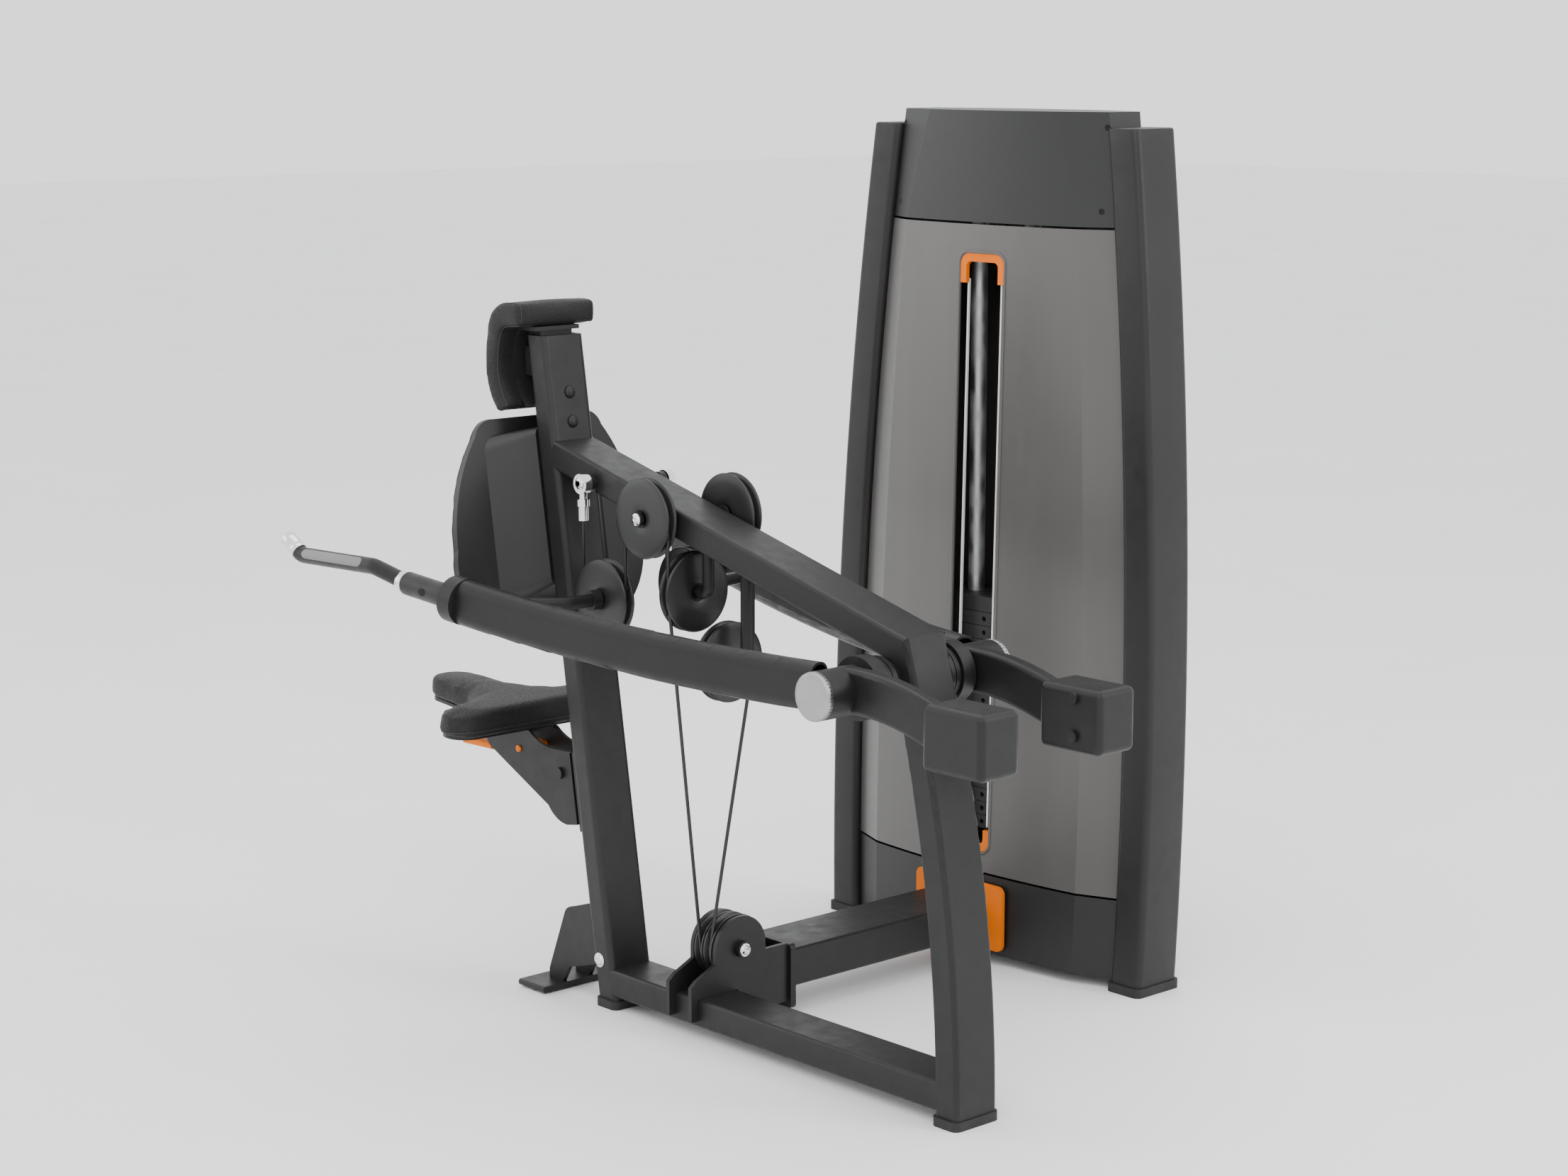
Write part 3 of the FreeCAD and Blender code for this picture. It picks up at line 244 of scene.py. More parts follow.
MATERIALS = {
    "frame_paint": powder_coat("charcoal_powder_coat", 0.009),
    "tower_paint": powder_coat("tower_powder_coat", 0.012, 0.02, 0.4),
    "shroud_paint": satin_paint("warm_grey_panel", 0.068, 0.06, 0.32),
    "hood_plastic": moulded("dark_moulded_cover", 0.010, 0.01, 0.42),
    "orange_paint": colour_paint("orange_powder_coat", (0.80, 0.165, 0.001), 0.5),
    "light_strip": pale_plastic("pale_strip"),
    "chrome": bare_metal("polished_chrome", 0.82, 0.08),
    "steel": bare_metal("drawn_steel", 0.5, 0.26, (160.0, 160.0, 2.0)),
    "stack_iron": powder_coat("black_coated_iron", 0.014, 0.0, 0.5, 900.0),
    "rubber": rubber("foot_rubber", 0.02),
    "pulley_plastic": moulded("turned_black_nylon", 0.013, 0.0, 0.38, 900.0, 0.12),
    "cable_black": moulded("cable_sheath", 0.010, 0.0, 0.3, 1200.0, 0.1),
    "pad_leather": leather("pebbled_upholstery", 0.0085, 0.06),
    "guide_tube": bare_metal("satin_guide_tube", 0.5, 0.5, (160.0, 160.0, 2.0)),
    "pale_cap": bare_metal("satin_end_cap", 0.36, 0.42, (1.0, 220.0, 1.0)),
    "pale_inlay": moulded("pale_grey_inlay", 0.16, 0.0, 0.4),
    # Painted shade: a near-black finish for thin discs that stand in for holes and recesses.
    "painted_shade_bore": moulded("painted_shade_bore", 0.0015, 0.0, 0.85, 900.0, 0.1),
    "pad_welt": moulded("pad_welt", 0.012, 0.03, 0.6, 900.0, 0.2),
}
slot_of = {p["node"]: p["material_slot"] for p in frame["record"]["subparts"]}


def dress(piece, slot, smooth=True):
    piece.data.materials.clear()
    piece.data.materials.append(MATERIALS[slot])
    if smooth:
        piece.data.shade_smooth()


def paint_cad():
    """Every CAD node gets its slot's finish, and keeps its own shading."""
    for name, piece in nodes.items():
        dress(piece, "guide_tube" if name == "guide_rods" else slot_of[name], smooth=False)


# ---- studio -----------------------------------------------------------------------------------
FLOOR_REACH = 30.0
WORLD_COLOUR, WORLD_STRENGTH = (0.93, 0.94, 0.95, 1), 1.75


def area_light(name, at, target, size, power):
    lamp = bpy.data.lights.new(name, "AREA")
    lamp.shape = "RECTANGLE"
    lamp.size, lamp.size_y = size
    lamp.energy = power
    obj = bpy.data.objects.new(name, lamp)
    obj.location = at
    obj.rotation_euler = (Vector(target) - Vector(at)).to_track_quat("-Z", "Y").to_euler()
    bpy.context.scene.collection.objects.link(obj)


def build_floor():
    mesh = bpy.data.meshes.new("floor")
    edge = FLOOR_REACH
    corners = [(-edge, -edge, 0), (edge, -edge, 0), (edge, edge, 0), (-edge, edge, 0)]
    mesh.from_pydata(corners, [], [(0, 1, 2, 3)])
    floor = bpy.data.objects.new("floor", mesh)
    bpy.context.scene.collection.objects.link(floor)
    s = Shader("studio_floor", 0.6)
    s.link(s.ramp(s.noise(1.5, 2.0), [(0.3, (0.90, 0.90, 0.90)), (0.7, (0.93, 0.93, 0.93))]),
           "Base Color")
    mesh.materials.append(s.mat)


def build_camera():
    camera = bpy.data.cameras.new("camera")
    camera.lens, camera.sensor_width = LENS, SENSOR
    obj = bpy.data.objects.new("camera", camera)
    obj.location = CAMERA_AT
    obj.rotation_euler = (math.radians(90 - CAMERA_DIP), 0, math.radians(CAMERA_TURN))
    bpy.context.scene.collection.objects.link(obj)
    bpy.context.scene.camera = obj


def build_studio():
    build_floor()
    area_light("key", (2.6, -3.2, 3.6), (0, 0, 0.7), (2.6, 2.6), 70)
    area_light("fill", (-3.4, -2.6, 2.2), (0, 0, 0.8), (2.5, 2.5), 25)
    area_light("rim", (3.6, 1.6, 2.6), (0, 0.2, 0.8), (1.0, 2.6), 60)
    area_light("top", (0, 0, 4.4), (0, 0, 0), (3.5, 3.5), 55)
    world = bpy.data.worlds.new("studio")
    world.use_nodes = True
    background = world.node_tree.nodes["Background"]
    background.inputs["Color"].default_value = WORLD_COLOUR
    background.inputs["Strength"].default_value = WORLD_STRENGTH
    bpy.context.scene.world = world
    build_camera()


# ---- mesh helpers -----------------------------------------------------------------------------
SAME_POINT = 1e-6


def new_piece(name, bm, slot, body, smooth=True):
    mesh = bpy.data.meshes.new(name)
    bmesh.ops.recalc_face_normals(bm, faces=bm.faces)
    bm.to_mesh(mesh)
    bm.free()
    piece = bpy.data.objects.new(name, mesh)
    bpy.context.scene.collection.objects.link(piece)
    dress(piece, slot, smooth)
    if body:
        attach(piece, body)
    return piece


def frame_at(at, axis):
    """A placement with local +Z along axis."""
    turn = Vector(axis).normalized().to_track_quat("Z", "Y").to_matrix().to_4x4()
    return Matrix.Translation(at) @ turn


def lathe_into(bm, profile, place, steps=40):
    """Revolve (radius, height) points about the placement's Z axis."""
    rings = []
    for radius, height in profile:
        if radius < SAME_POINT:
            rings.append([bm.verts.new(place @ Vector((0, 0, height)))])
            continue
        angles = (2 * math.pi * k / steps for k in range(steps))
        rings.append([bm.verts.new(place @ Vector((radius * math.cos(a), radius * math.sin(a),
                                                   height))) for a in angles])
    for low, high in zip(rings, rings[1:]):
        for k in range(steps):
            corners = [low[k % len(low)], low[(k + 1) % len(low)],
                       high[(k + 1) % len(high)], high[k % len(high)]]
            unique = list(dict.fromkeys(corners))
            if len(unique) > 2:
                bm.faces.new(unique)


def turned(name, profile, place, slot, body, steps=40):
    """One lathed piece."""
    bm = bmesh.new()
    lathe_into(bm, profile, place, steps)
    new_piece(name, bm, slot, body)


def skin(bm, low, high):
    """A band of faces between two closed rings with the same number of points."""
    count = len(low)
    for k in range(count):
        j = (k + 1) % count
        bm.faces.new((low[k], low[j], high[j], high[k]))


def circle_into(bm, centre, u, v, radius, sides):
    """A ring of points about a centre, in the plane of the unit vectors u and v."""
    return [bm.verts.new(centre + (u * math.cos(a) + v * math.sin(a)) * radius)
            for a in (2 * math.pi * j / sides for j in range(sides))]


def tube_into(bm, points, radius, sides):
    """A closed round tube along points, with no twist."""
    first = (points[1] - points[0]).normalized()
    up = Vector((0, 1, 0)) if abs(first.y) < 0.9 else Vector((1, 0, 0))
    rings = []
    for k, p in enumerate(points):
        ahead = (points[min(k + 1, len(points) - 1)] - points[max(k - 1, 0)]).normalized()
        side = ahead.cross(up).normalized()
        rings.append(circle_into(bm, p, side, side.cross(ahead), radius, sides))
    for low, high in zip(rings, rings[1:]):
        skin(bm, low, high)
    bm.faces.new(list(reversed(rings[0])))
    bm.faces.new(rings[-1])


def ring_into(bm, points, radius, sides=8):
    """A tube through a closed loop of points."""
    rings = []
    count = len(points)
    centre = sum(points, Vector()) / count
    for k, p in enumerate(points):
        ahead = (points[(k + 1) % count] - points[k - 1]).normalized()
        side = ahead.cross((p - centre).normalized()).normalized()
        rings.append(circle_into(bm, p, side, side.cross(ahead), radius, sides))
    for k in range(count):
        skin(bm, rings[k], rings[(k + 1) % count])


def rounded_ring(wide, deep, r, steps=6):
    """Points round a rounded rectangle, given half sizes."""
    points = []
    for cx, cy, start in ((wide - r, deep - r, 0), (r - wide, deep - r, 90),
                          (r - wide, r - deep, 180), (wide - r, r - deep, 270)):
        for k in range(steps + 1):
            a = math.radians(start + 90 * k / steps)
            points.append((cx + r * math.cos(a), cy + r * math.sin(a)))
    return points


def soften(piece, angle=35):
    """Smooth shading that keeps edges sharper than the angle."""
    mesh = piece.data
    mesh.shade_smooth()
    mesh.set_sharp_from_angle(angle=math.radians(angle))


def middle(node):
    low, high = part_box(node)
    return (low + high) / 2


# ---- upholstery -------------------------------------------------------------------------------
VOXEL = 0.0055
CLOTH_STEPS = 20
WELT_R, WELT_PROUD = 0.0013, 0.0002
SHORTEST_SEAM = 30               # points round a section, to leave out stray scraps
SEAT_RISE, SEAT_LENGTH = 0.014, 0.323
COLUMN_LEAN = 0.157
REARWARD = Vector((1, 0, COLUMN_LEAN)).normalized()


def apply_modifier(piece, kind, **values):
    modifier = piece.modifiers.new(kind.lower(), kind)
    for key, value in values.items():
        setattr(modifier, key, value)
    with bpy.context.temp_override(object=piece, active_object=piece):
        bpy.ops.object.modifier_apply(modifier=modifier.name)


def blown_up(piece, stapled, crown):
    """Where a piece's points end when it is blown up as cloth with the stapled ones held."""
    held = piece.vertex_groups.new(name="stapled")
    held.add(stapled, 1.0, "REPLACE")
    cloth = piece.modifiers.new("cloth", "CLOTH")
    cloth.settings.quality = 4
    cloth.settings.mass = 0.25
    cloth.settings.use_pressure = True
    cloth.settings.uniform_pressure_force = crown
    cloth.settings.vertex_group_mass = "stapled"
    cloth.settings.effector_weights.gravity = 0
    cloth.collision_settings.use_collision = False
    for step in range(1, CLOTH_STEPS + 1):
        bpy.context.scene.frame_set(step)
    blown = piece.evaluated_get(bpy.context.evaluated_depsgraph_get()).to_mesh()
    ends = [v.co.copy() for v in blown.vertices]
    piece.modifiers.remove(cloth)
    piece.vertex_groups.clear()
    return ends


def soft_pad(node, body, backing, cap, crown=4.0, inset=0.004, relax=5):
    """A foam pad on its board: cloth blown up from a slightly smaller solid, its back held flat.

    backing(co) is above 0 where the cover is stapled to the board and can't move. No point
    moves further than cap.
    """
    source = nodes[node]
    piece = source.copy()
    piece.data = source.data.copy()
    piece.name = node + "_cover"
    for key in list(piece.keys()):
        del piece[key]
    piece.parent = None
    bpy.context.scene.collection.objects.link(piece)
    bpy.context.view_layer.objects.active = piece

    apply_modifier(piece, "REMESH", mode="VOXEL", voxel_size=VOXEL)
    apply_modifier(piece, "SMOOTH", factor=0.5, iterations=9)
    mesh = piece.data
    mesh.update()
    for v in mesh.vertices:
        if backing(v.co) <= 0:
            v.co -= v.normal * inset
    start = [v.co.copy() for v in mesh.vertices]
    stapled = [i for i, co in enumerate(start) if backing(co) > 0]
    for v, a, b in zip(mesh.vertices, start, blown_up(piece, stapled, crown)):
        move = b - a
        v.co = a + move * min(1.0, cap / max(move.length, 1e-9))
    apply_modifier(piece, "SMOOTH", factor=0.5, iterations=relax)
    apply_modifier(piece, "SUBSURF", levels=1)
    dress(piece, "pad_leather")
    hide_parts(node)
    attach(piece, body)
    return piece


def section_loops(mesh, at, normal):
    """The loops in which a plane cuts a mesh, just proud of its surface."""
    bm = bmesh.new()
    bm.from_mesh(mesh)
    cut = bmesh.ops.bisect_plane(bm, geom=bm.verts[:] + bm.edges[:] + bm.faces[:],
                                 plane_co=at, plane_no=normal)
    links = {}
    for edge in cut["geom_cut"]:
        if isinstance(edge, bmesh.types.BMEdge):
            a, b = edge.verts
            links.setdefault(a, []).append(b)
            links.setdefault(b, []).append(a)
    loops, seen = [], set()
    for first in links:
        if first in seen:
            continue
        loop, here = [], first
        while here and here not in seen:
            seen.add(here)
            loop.append(here.co + here.normal * WELT_PROUD)
            here = next((v for v in links[here] if v not in seen), None)
        if len(loop) > SHORTEST_SEAM:
            loops.append(loop)
    bm.free()
    return loops


def seam_loop(name, pad, body, at, normal):
    """A stitched welt where the pad's cover panels meet: a fine cord sunk along a section."""
    out = bmesh.new()
    for loop in section_loops(pad.data, at, normal):
        count = len(loop)
        for _ in range(3):
            loop = [(loop[k - 1] + loop[k] * 2 + loop[(k + 1) % count]) / 4 for k in range(count)]
        ring_into(out, loop[::2], WELT_R)
    new_piece(name, out, "pad_welt", body)


def build_pads():
    low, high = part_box("seat_pad")
    rise = Vector((-SEAT_RISE / SEAT_LENGTH, 0, 1)).normalized()
    foot = Vector((high.x, 0, low.z))
    seat = soft_pad("seat_pad", "seat", lambda co: 0.006 - (co - foot).dot(rise), 0.009)
    seam_loop("seat_pad_welt", seat, "seat", foot + rise * 0.011, rise)

    board = max(v.co.dot(REARWARD) for v in nodes["back_pad"].data.vertices)
    back = soft_pad("back_pad", "root", lambda co: co.dot(REARWARD) - board + 0.004, 0.007,
                    inset=0.003)
    seam_loop("back_pad_welt", back, "root", REARWARD * (board - 0.006), REARWARD)

    low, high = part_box("head_pad")
    head = soft_pad("head_pad", "root", lambda co: -1.0, 0.0035, 1.5, inset=0.002, relax=14)
    for side, y in (("near", low.y + 0.010), ("far", high.y - 0.010)):
        seam_loop(f"head_pad_welt_{side}", head, "root", Vector((0, y, 0)), Vector((0, 1, 0)))


# ---- cables -----------------------------------------------------------------------------------
GROOVE_R, CABLE_R, TOP_PULLEY_Z = 0.055, 0.003, 1.4
RISER_OFFSET = 0.0115            # from the middle of the tower pulleys to each riser
SPAN_MARGIN = 0.0036             # half the width of the box round a moving span
SPAN_SEGMENTS, SPAN_SIDES = 28, 14


def inside(point, span):
    low, high = span
    return all(low[k] - 1e-4 <= point[k] <= high[k] + 1e-4 for k in range(3))


def span_box(a, b):
    """The box round an upright span, no taller than the span itself."""
    margins = (SPAN_MARGIN, SPAN_MARGIN, 0)
    return ([min(a[k], b[k]) - margins[k] for k in range(3)],
            [max(a[k], b[k]) + margins[k] for k in range(3)])


def static_cable(name, node, drop):
    """The part of a CAD cable that keeps its place: the faces not inside any moving span."""
    bm = bmesh.new()
    bm.from_mesh(nodes[node].data)
    gone = [f for f in bm.faces if any(inside(f.calc_center_median(), span) for span in drop)]
    bmesh.ops.delete(bm, geom=gone, context="FACES")
    bmesh.ops.remove_doubles(bm, verts=bm.verts, dist=SAME_POINT)
    piece = new_piece(name, bm, "cable_black", "root", False)
    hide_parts(node)


def cable_span(name, a, b):
    """A straight span in short segments."""
    points = [a.lerp(b, k / SPAN_SEGMENTS) for k in range(SPAN_SEGMENTS + 1)]
    bm = bmesh.new()
    tube_into(bm, points, CABLE_R, SPAN_SIDES)
    return new_piece(name, bm, "cable_black", None)


def build_arm_cable(side, sign):
    """An arm's cable: a run that stays, two straight strands at the arm's pulley, a riser to the
    yoke.
    """
    arm, top, lower = (middle(node) for node in (f"{side}_arm_pulley", f"{side}_top_pulley",
                                                 "tower_pulleys"))
    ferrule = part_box("cable_rod_ends")[0].z + 0.001
    left_top = Vector((arm.x - GROOVE_R, arm.y, ferrule))
    left_low = Vector((arm.x - GROOVE_R, arm.y, arm.z))
    right_top = Vector((arm.x + GROOVE_R, arm.y, top.z))
    right_low = Vector((arm.x + GROOVE_R, arm.y, arm.z))
    riser_x = lower.x + sign * RISER_OFFSET
    riser_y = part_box(f"{side}_cable")[1].y - CABLE_R
    riser_low = Vector((riser_x, riser_y, lower.z))
    riser_high = Vector((riser_x, riser_y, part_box("yoke")[0].z + 0.004))
    hidden_end = Vector((0, 0, 0.01))
    static_cable(f"{side}_cable_run", f"{side}_cable",
                 [span_box(left_low, left_top + hidden_end), span_box(right_low, right_top),
                  span_box(riser_low, riser_high + hidden_end)])

    span = cable_span(f"{side}_cable_anchor_span", left_top, left_low)
    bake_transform(span)
    span = cable_span(f"{side}_cable_arm_span", right_top, right_low)
    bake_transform(span)
    span = cable_span(f"{side}_cable_riser", riser_low, riser_high)
    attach(span, "root")
    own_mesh(span)
    dress(nodes[f"{side}_cable_loop"], "cable_black")


def build_lifting_cable():
    """The cable over the top pulley: its bend stays, and two straight ends run down to the stack and
    the yoke.
    """
    pulley, plate = middle("top_pulley"), middle("top_plate")
    reach = Vector((plate.x - pulley.x, plate.y - pulley.y, 0))
    front_high = Vector((pulley.x + reach.x, pulley.y + reach.y, TOP_PULLEY_Z))
    front_low = Vector((front_high.x, front_high.y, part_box("top_plate")[1].z - 0.008))
    rear_high = Vector((pulley.x - reach.x, pulley.y - reach.y, TOP_PULLEY_Z))
    rear_low = Vector((rear_high.x, rear_high.y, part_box("yoke")[1].z - 0.006))
    hidden_end = Vector((0, 0, 0.02))
    static_cable("lifting_cable_bend", "lifting_cable",
                 [span_box(front_low - hidden_end, front_high),
                  span_box(rear_low - hidden_end, rear_high)])

    span = cable_span("lifting_cable_front", front_high, front_low)
    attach(span, "root")
    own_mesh(span)
    span = cable_span("lifting_cable_rear", rear_high, rear_low)
    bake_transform(span)


def build_cables():
    build_arm_cable("near", -1)
    build_arm_cable("far", 1)
    build_lifting_cable()


# ---- arms and handles -------------------------------------------------------------------------
# Lathe profiles: (radius, height) points in metres.
BARREL_CAP = [(0.0, 0.0052), (0.030, 0.0052), (0.0355, 0.0046), (0.0375, 0.0030), (0.0380, 0.0),
              (0.0380, -0.006), (0.0, -0.006)]
HANDLE_RING = [(0.0132, -0.001), (0.0176, -0.001), (0.0186, 0.001), (0.0186, 0.015),
               (0.0176, 0.0175), (0.0150, 0.0185), (0.0132, 0.0185)]
HANDLE_TIP = [(0.0, -0.0400), (0.0146, -0.0400), (0.0152, -0.0392), (0.0152, -0.0295),
              (0.0146, -0.0285), (0.0146, -0.0265), (0.0152, -0.0255), (0.0152, -0.0012),
              (0.0142, 0.0010), (0.0, 0.0010)]
COLLAR_SLOT = [(0.0, 0.0009), (0.0052, 0.0009), (0.0062, 0.0006), (0.0066, 0.0)]

# The near handle's bends, from the collar's end to the tip, and last the collar's own start.
# They are in the CAD's layout, moved by LAYOUT_X along x. The frame's middle is at y MIDDLE_Y.
LAYOUT_X, MIDDLE_Y = 0.61558, 0.0475
HANDLE_LINE = [(x + LAYOUT_X, y, z) for x, y, z in (
    (-1.050, -0.252, 0.748), (-1.123, -0.270, 0.770), (-1.341, -0.270, 0.763),
    (-1.383, -0.270, 0.788), (-0.929, -0.248, 0.738))]
BARREL_END = 0.1935              # from the frame's middle to the end of a pivot barrel
COLLAR_SKIN = 0.0196             # from the collar's middle line to its slot


def grip_inlay(name, start, end, sign, body):
    """A pale moulded strip let into the upper outer side of the grip."""
    stations, across, sweep = 28, 12, 1.35
    proud, flush = 0.0149, 0.0138
    run = end - start
    a, b = start + run * 0.10, start + run * 0.93
    ahead = run.normalized()
    out = Vector((0, sign, 0.55)).normalized()
    side = ahead.cross(out).normalized()
    bm = bmesh.new()
    rows = []
    for k in range(stations + 1):
        t = k / stations
        taper = min(1.0, min(t, 1 - t) * 14 + 0.35)
        centre = a.lerp(b, t)
        row = []
        for j in range(across + 1):
            angle = (j / across - 0.5) * sweep * taper
            lift = proud if 0 < j < across and 0 < k < stations else flush
            turn = out * math.cos(angle) + side * math.sin(angle)
            row.append(bm.verts.new(centre + turn * lift))
        rows.append(row)
    for low, high in zip(rows, rows[1:]):
        for j in range(across):
            bm.faces.new((low[j], low[j + 1], high[j + 1], high[j]))
    new_piece(name, bm, "pale_inlay", body)


def build_arm_details():
    """Barrel caps, handle rings, tips and grips, and collar slots, on both arms."""
    pivot = middle("pivot_housing")
    for side, sign in (("near", -1), ("far", 1)):
        arm, handle = f"{side}_arm", f"{side}_handle"
        outward = (0, sign, 0)
        barrel_end = Vector((pivot.x, pivot.y + sign * BARREL_END, pivot.z))
        turned(f"{side}_barrel_cap", BARREL_CAP, frame_at(barrel_end, outward), "pale_cap", arm, 64)

        points = [Vector((x, pivot.y + sign * (MIDDLE_Y - y), z)) for x, y, z in HANDLE_LINE]
        collar_end, grip_start, grip_end, tip, collar_start = points
        along = (collar_end - collar_start).normalized()
        turned(f"{side}_handle_ring", HANDLE_RING, frame_at(collar_end, along), "chrome", handle, 48)
        tip_run = (tip - grip_end).normalized()
        turned(f"{side}_handle_tip", HANDLE_TIP, frame_at(tip, tip_run), "chrome", handle, 48)
        grip_inlay(f"{side}_grip_inlay", grip_start, grip_end, sign, handle)
        # The collar's slot is a thin oval disc in painted shade, not a cut.
        hole = (collar_start + collar_end) / 2 + Vector((0, sign * COLLAR_SKIN, 0.0))
        oval = frame_at(hole, outward) @ Matrix.Diagonal((1.5, 1, 1, 1))
        turned(f"{side}_collar_slot", COLLAR_SLOT, oval, "painted_shade_bore", arm)


# ---- bolts and pulleys ------------------------------------------------------------------------
X_AXIS, Y_AXIS = (1, 0, 0), (0, 1, 0)
DOME = [(0.0, 0.0052), (0.003, 0.0050), (0.006, 0.0040), (0.0082, 0.0022), (0.009, 0.0),
        (0.0, 0.0)]
RECESS = [(0.0, 0.0004), (0.0060, 0.0004), (0.0072, 0.0010), (0.0084, 0.0008), (0.0088, 0.0),
          (0.0, 0.0)]
EYE = [(0.0, 0.0006), (0.0078, 0.0006), (0.0098, -0.0012), (0.0104, -0.003), (0.0, -0.003)]
SOCKET = [(0.0, 0.0022), (0.0028, 0.0022), (0.003, 0.0048), (0.0052, 0.0052), (0.0078, 0.0036),
          (0.0092, 0.0012), (0.0094, 0.0), (0.0, 0.0)]
WASHER = [(0.0, 0.0), (0.0124, 0.0), (0.0128, 0.0005), (0.0128, 0.0013), (0.0122, 0.0016),
          (0.0, 0.0016)]
WHEEL = [(0.0082, 0.0090), (0.0128, 0.0090), (0.0142, 0.0120), (0.0170, 0.0133), (0.0300, 0.0130),
         (0.0520, 0.0121), (0.0630, 0.0110), (0.0664, 0.0098), (0.0672, 0.0082), (0.0668, 0.0068),
         (0.0600, 0.0054), (0.0546, 0.0036), (0.0524, 0.0018), (0.0517, 0.0)]
KEEPER_SIZE, KEEPER_BEVEL = (0.017, 0.0032, 0.011), 0.0009
KEEPER_R = 0.0632                # from a pulley's axle to its keeper
TOP_BOLT_Y, ARM_BOLT_Y, BASE_BOLT_X = 0.021, 0.018, 0.0435
EYE_Y, EYE_DROP = 0.0102, 0.018


def bolt(name, at, axis, slot, body, size=1.0, profile=SOCKET):
    """A bolt head at a point. A socket head also gets a washer of one fixed thickness."""
    bm = bmesh.new()
    place = frame_at(at, axis)
    lathe_into(bm, [(r * size, h * size) for r, h in profile], place, 32)
    if profile is SOCKET:
        lathe_into(bm, [(r * size, h) for r, h in WASHER], place, 32)
    return new_piece(name, bm, slot, body)


def keeper(name, node, outward, axle, body):
    """A short pressed bridge between a pulley's flanges that holds the cable in its groove."""
    across = Vector(axle).normalized()
    out = Vector(outward).normalized()
    along = across.cross(out)
    bm = bmesh.new()
    bmesh.ops.create_cube(bm, size=1.0, matrix=Matrix.Diagonal((*KEEPER_SIZE, 1)))
    bmesh.ops.bevel(bm, geom=bm.edges[:], offset=KEEPER_BEVEL, segments=2, affect="EDGES")
    turn = Matrix((across, out, along)).transposed().to_4x4()
    place = Matrix.Translation(middle(node) + out * KEEPER_R) @ turn
    bmesh.ops.transform(bm, matrix=place, verts=bm.verts)
    new_piece(name, bm, "frame_paint", body, False)


def wheel(node, axle, body):
    """A turned cable pulley: softly domed faces, rounded rims and a recess round the bolt."""
    bm = bmesh.new()
    back = [(r, -h) for r, h in reversed(WHEEL[:-1])]
    profile = WHEEL + back + [WHEEL[0]]
    lathe_into(bm, profile, frame_at(middle(node), axle), 96)
    bmesh.ops.remove_doubles(bm, verts=bm.verts, dist=SAME_POINT)
    piece = new_piece(f"{node}_wheel", bm, "pulley_plastic", body)
    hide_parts(node)


def build_pulleys(side, sign):
    """One arm's three pulleys with their keepers and bolts, and its cable's eye."""
    top, arm, corner = f"{side}_top_pulley", f"{side}_arm_pulley", f"{side}_corner_pulley"
    keeper(f"{side}_top_keeper", top, (0.85, 0, -0.5), Y_AXIS, "root")
    keeper(f"{side}_arm_keeper", arm, (0.9, 0, 0.43), Y_AXIS, f"{side}_arm")
    keeper(f"{side}_corner_keeper", corner, (0, 0.8 * sign, -0.6), X_AXIS, "root")
    wheel(top, Y_AXIS, top)
    wheel(arm, Y_AXIS, arm)
    wheel(corner, X_AXIS, corner)

    outward, inward = (0, sign, 0), (0, -sign, 0)
    top_at, arm_at = middle(top), middle(arm)
    bolt(f"{side}_top_bolt", top_at + Vector((0, sign * TOP_BOLT_Y, 0)), outward, "chrome",
         "root", 0.8)
    bolt(f"{side}_arm_bolt", arm_at + Vector((0, -sign * ARM_BOLT_Y, 0)), inward, "chrome",
         f"{side}_arm", 0.8)
    eye_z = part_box("cable_rod_ends")[1].z - EYE_DROP
    eye = Vector((arm_at.x - GROOVE_R, arm_at.y + sign * EYE_Y, eye_z))
    bolt(f"{side}_eye_ball", eye, outward, "chrome", "root", 1.0, EYE)
    # The eye's hole is a small dark dome in painted shade.
    bolt(f"{side}_eye_bore", eye + Vector((0, sign * 0.0006, 0)), outward, "painted_shade_bore", "root",
         0.55, DOME[3:])


def island_centres(mesh):
    """The centre of each loose part of a mesh, from the lowest up."""
    bm = bmesh.new()
    bm.from_mesh(mesh)
    bmesh.ops.remove_doubles(bm, verts=bm.verts, dist=SAME_POINT)
    centres, seen = [], set()
    for first in bm.verts:
        if first in seen:
            continue
        stack, island = [first], []
        seen.add(first)
        while stack:
            here = stack.pop()
            island.append(here.co.copy())
            for edge in here.link_edges:
                other = edge.other_vert(here)
                if other not in seen:
                    seen.add(other)
                    stack.append(other)
        centres.append(sum(island, Vector()) / len(island))
    bm.free()
    return sorted(centres, key=lambda p: p.z)


def build_frame_bolts():
    """A plated bolt at the column's foot and painted dome bolts higher up."""
    lowest, *others = island_centres(nodes["frame_bolts"].data)
    foot = bolt("column_foot_bolt", lowest + Vector((0, 0.003, 0)), (0, -1, 0), "chrome", "root")
    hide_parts("frame_bolts")
    for k, at in enumerate(others):
        dome = bolt(f"column_dome_{k + 1}", at - REARWARD * 0.003, REARWARD, "frame_paint", "root",
                    1.25, DOME)
        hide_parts("frame_bolts")


# ---- tower ------------------------------------------------------------------------------------
TOWER_LEAN = 0.022
# Half the tower's width at height z is HALF_AT_FOOT + WIDENING * z - BOWING * z * z.
HALF_AT_FOOT, WIDENING, BOWING = 0.390, 0.03733, 0.05689
COLUMN_HALF_W, COLUMN_HALF_D, COLUMN_CORNER = 0.034, 0.0525, 0.013
COLUMN_LEVELS = 60
HOOD_SCREW_LEVELS = (("low", 1.358), ("high", 1.500))
HOOD_SCREW_OUT = 0.905           # as a share of the hood's half width
LIP_GAP, LIP_CORNER, LIP_R, LIP_STEP = 0.003, 0.022, 0.0026, 0.02


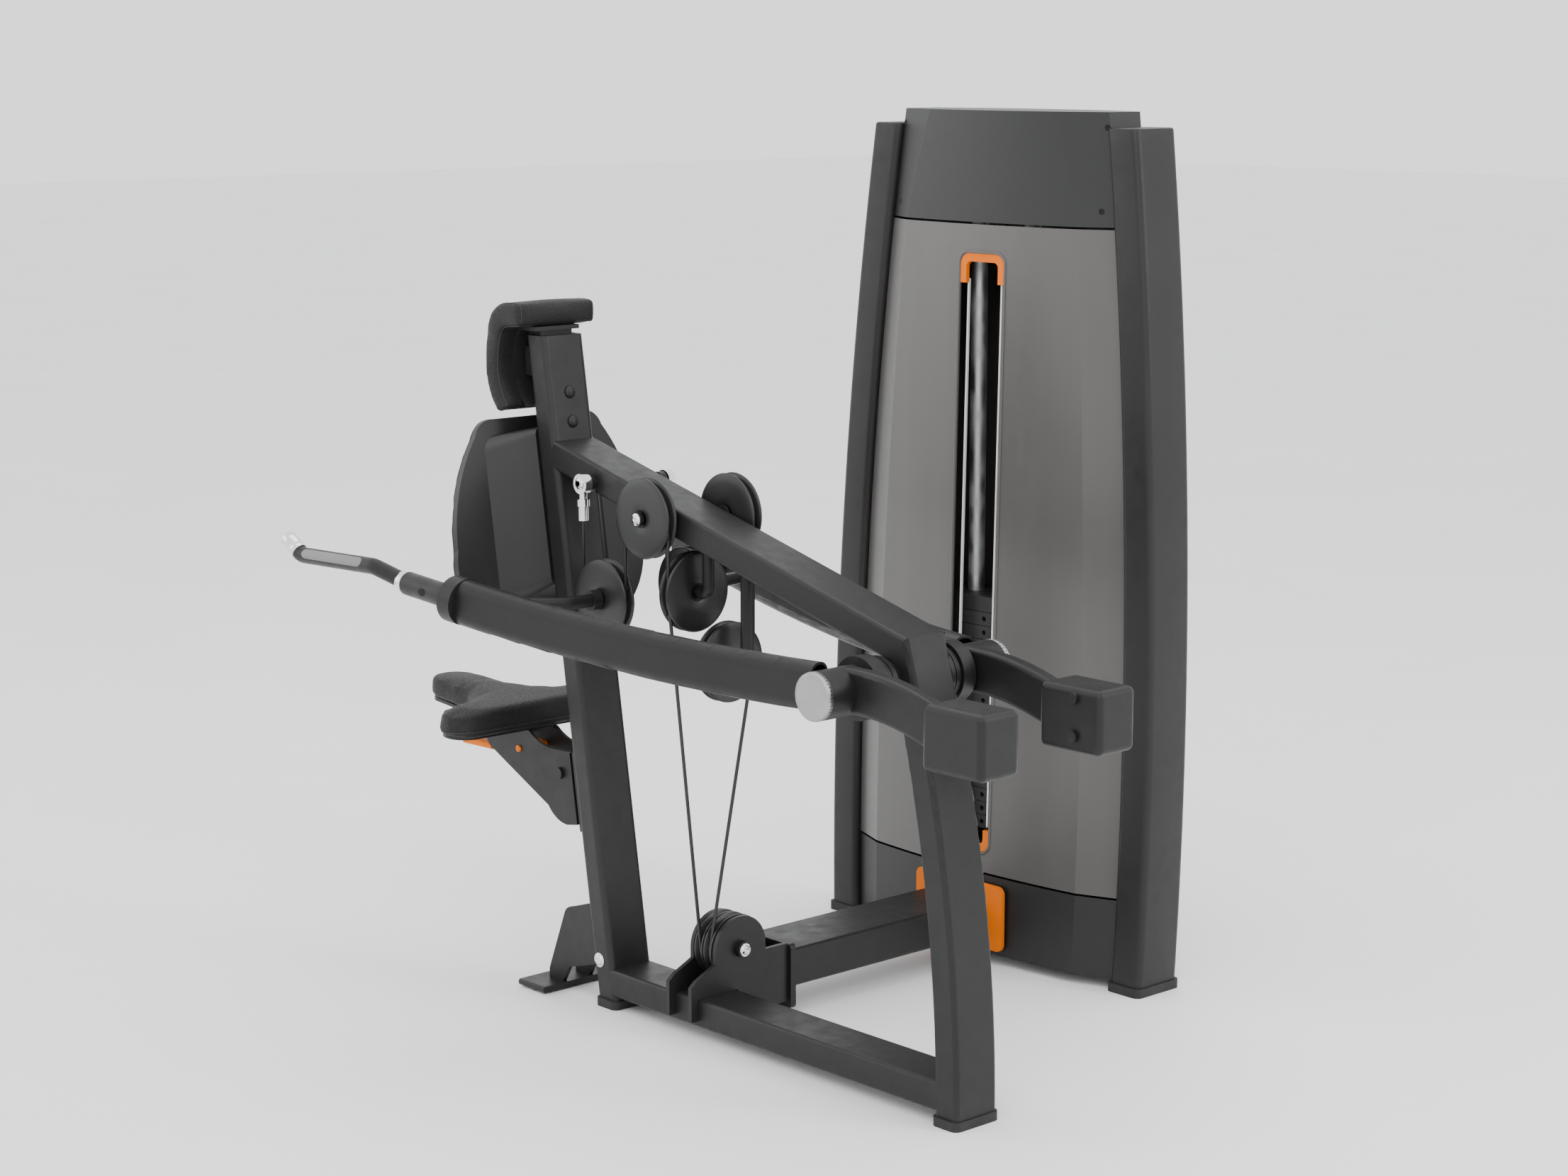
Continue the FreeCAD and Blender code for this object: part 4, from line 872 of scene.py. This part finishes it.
def build_hood_screws():
    """Four recessed screws in the side facets of the tower's hood, drawn as thin discs in painted
    shade.
    """
    hood = nodes["tower_hood"]
    low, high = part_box("tower_hood")
    middle_x = (low.x + high.x) / 2
    for side in (-1, 1):
        for level, z in HOOD_SCREW_LEVELS:
            x = middle_x + side * (high.x - middle_x) * HOOD_SCREW_OUT
            start = Vector((x, low.y - 0.1, z))
            hit, at, normal, _ = hood.ray_cast(start, Vector(Y_AXIS))
            if not hit:
                raise RuntimeError("hood screw has nothing to sit on")
            name = f"hood_screw_{'left' if side < 0 else 'right'}_{level}"
            # Painted shade stands in for each screw's recess.
            bolt(name, at - normal * 0.0002, normal, "painted_shade_bore", "root", 0.62, RECESS)


def build_slot_lip():
    """A rolled lip round the tower's slot, laid on the front shroud."""
    shroud = nodes["tower_front_shroud"]
    low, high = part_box("slot_trim")
    low_x, high_x = low.x - LIP_GAP, high.x + LIP_GAP
    low_z, high_z = low.z - LIP_GAP, high.z + LIP_GAP
    r = LIP_CORNER
    corners = [(high_x - r, high_z - r, 0), (low_x + r, high_z - r, 90),
               (low_x + r, low_z + r, 180), (high_x - r, low_z + r, 270)]
    outline = []
    for x, z, start in corners:
        arc = [math.radians(start + 90 * k / 8) for k in range(9)]
        outline += [(x + r * math.cos(a), z + r * math.sin(a)) for a in arc]
    path = []
    for k, (x, z) in enumerate(outline):
        nx, nz = outline[(k + 1) % len(outline)]
        count = max(1, round(math.hypot(nx - x, nz - z) / LIP_STEP))
        path += [(x + (nx - x) * j / count, z + (nz - z) * j / count) for j in range(count)]
    points = []
    for x, z in path:
        hit, at, _, _ = shroud.ray_cast(Vector((x, low.y - 0.2, z)), Vector(Y_AXIS))
        if hit:
            points.append(at)
    bm = bmesh.new()
    ring_into(bm, points, LIP_R, 10)
    new_piece("slot_lip", bm, "shroud_paint", "root")


def build_slot_strips():
    """The pale strips down the slot's sides: the CAD's strips, made narrower and moved out."""
    cad_x, strip_x, narrowing = 0.0365, 0.0405, 0.3
    low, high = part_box("slot_trim")
    centre = (low.x + high.x) / 2
    bm = bmesh.new()
    bm.from_mesh(nodes["slot_light_strips"].data)
    for v in bm.verts:
        side = math.copysign(1, v.co.x - centre)
        inner = v.co.x - centre - side * cad_x
        v.co.x = centre + side * strip_x + inner * narrowing
    strips = new_piece("slot_side_strips", bm, "light_strip", "root", False)
    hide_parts("slot_light_strips")


def build_tower_columns():
    """The tower's two bowed uprights as smooth sweeps, with a closed and softened top."""
    tower_x = (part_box("tower_column_left")[0].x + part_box("tower_column_right")[1].x) / 2
    foot_y = middle("tower_plinth").y - TOWER_LEAN * middle("tower_plinth").z
    for side, name in ((-1, "tower_column_left"), (1, "tower_column_right")):
        low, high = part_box(name)
        rise = high.z - 0.004 - low.z
        rings = [(low.z + rise * k / COLUMN_LEVELS, 0.0) for k in range(COLUMN_LEVELS + 1)]
        rings += [(high.z - 0.0015, 0.0007), (high.z, 0.0035)]
        bm = bmesh.new()
        loops = []
        for z, inset in rings:
            half = HALF_AT_FOOT + WIDENING * z - BOWING * z * z
            slope = WIDENING - 2 * BOWING * z
            x = tower_x + side * (half - COLUMN_HALF_W)
            y = foot_y + TOWER_LEAN * z
            wide = COLUMN_HALF_W * math.sqrt(1 + slope * slope) - inset
            outline = rounded_ring(wide, COLUMN_HALF_D - inset, COLUMN_CORNER - inset)
            loops.append([bm.verts.new((x + u, y + v, z)) for u, v in outline])
        for a, b in zip(loops, loops[1:]):
            skin(bm, a, b)
        bm.faces.new(list(reversed(loops[0])))
        bm.faces.new(loops[-1])
        piece = new_piece(f"{name}_sweep", bm, "tower_paint", "root")
        soften(piece)
        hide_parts(name)


def build_fittings():
    build_pulleys("near", -1)
    build_pulleys("far", 1)
    base = middle("base_pulleys")
    offset = Vector((BASE_BOLT_X, 0, 0))
    bolt("base_axle_bolt", base + offset, X_AXIS, "chrome", "root", 0.9)
    bolt("base_axle_nut", base - offset, (-1, 0, 0), "chrome", "root", 0.9)
    build_frame_bolts()
    build_hood_screws()
    build_slot_lip()
    build_slot_strips()
    build_tower_columns()


# ---- assembly ---------------------------------------------------------------------------------
paint_cad()
build_pads()
build_cables()
build_arm_details()
build_fittings()
build_studio()
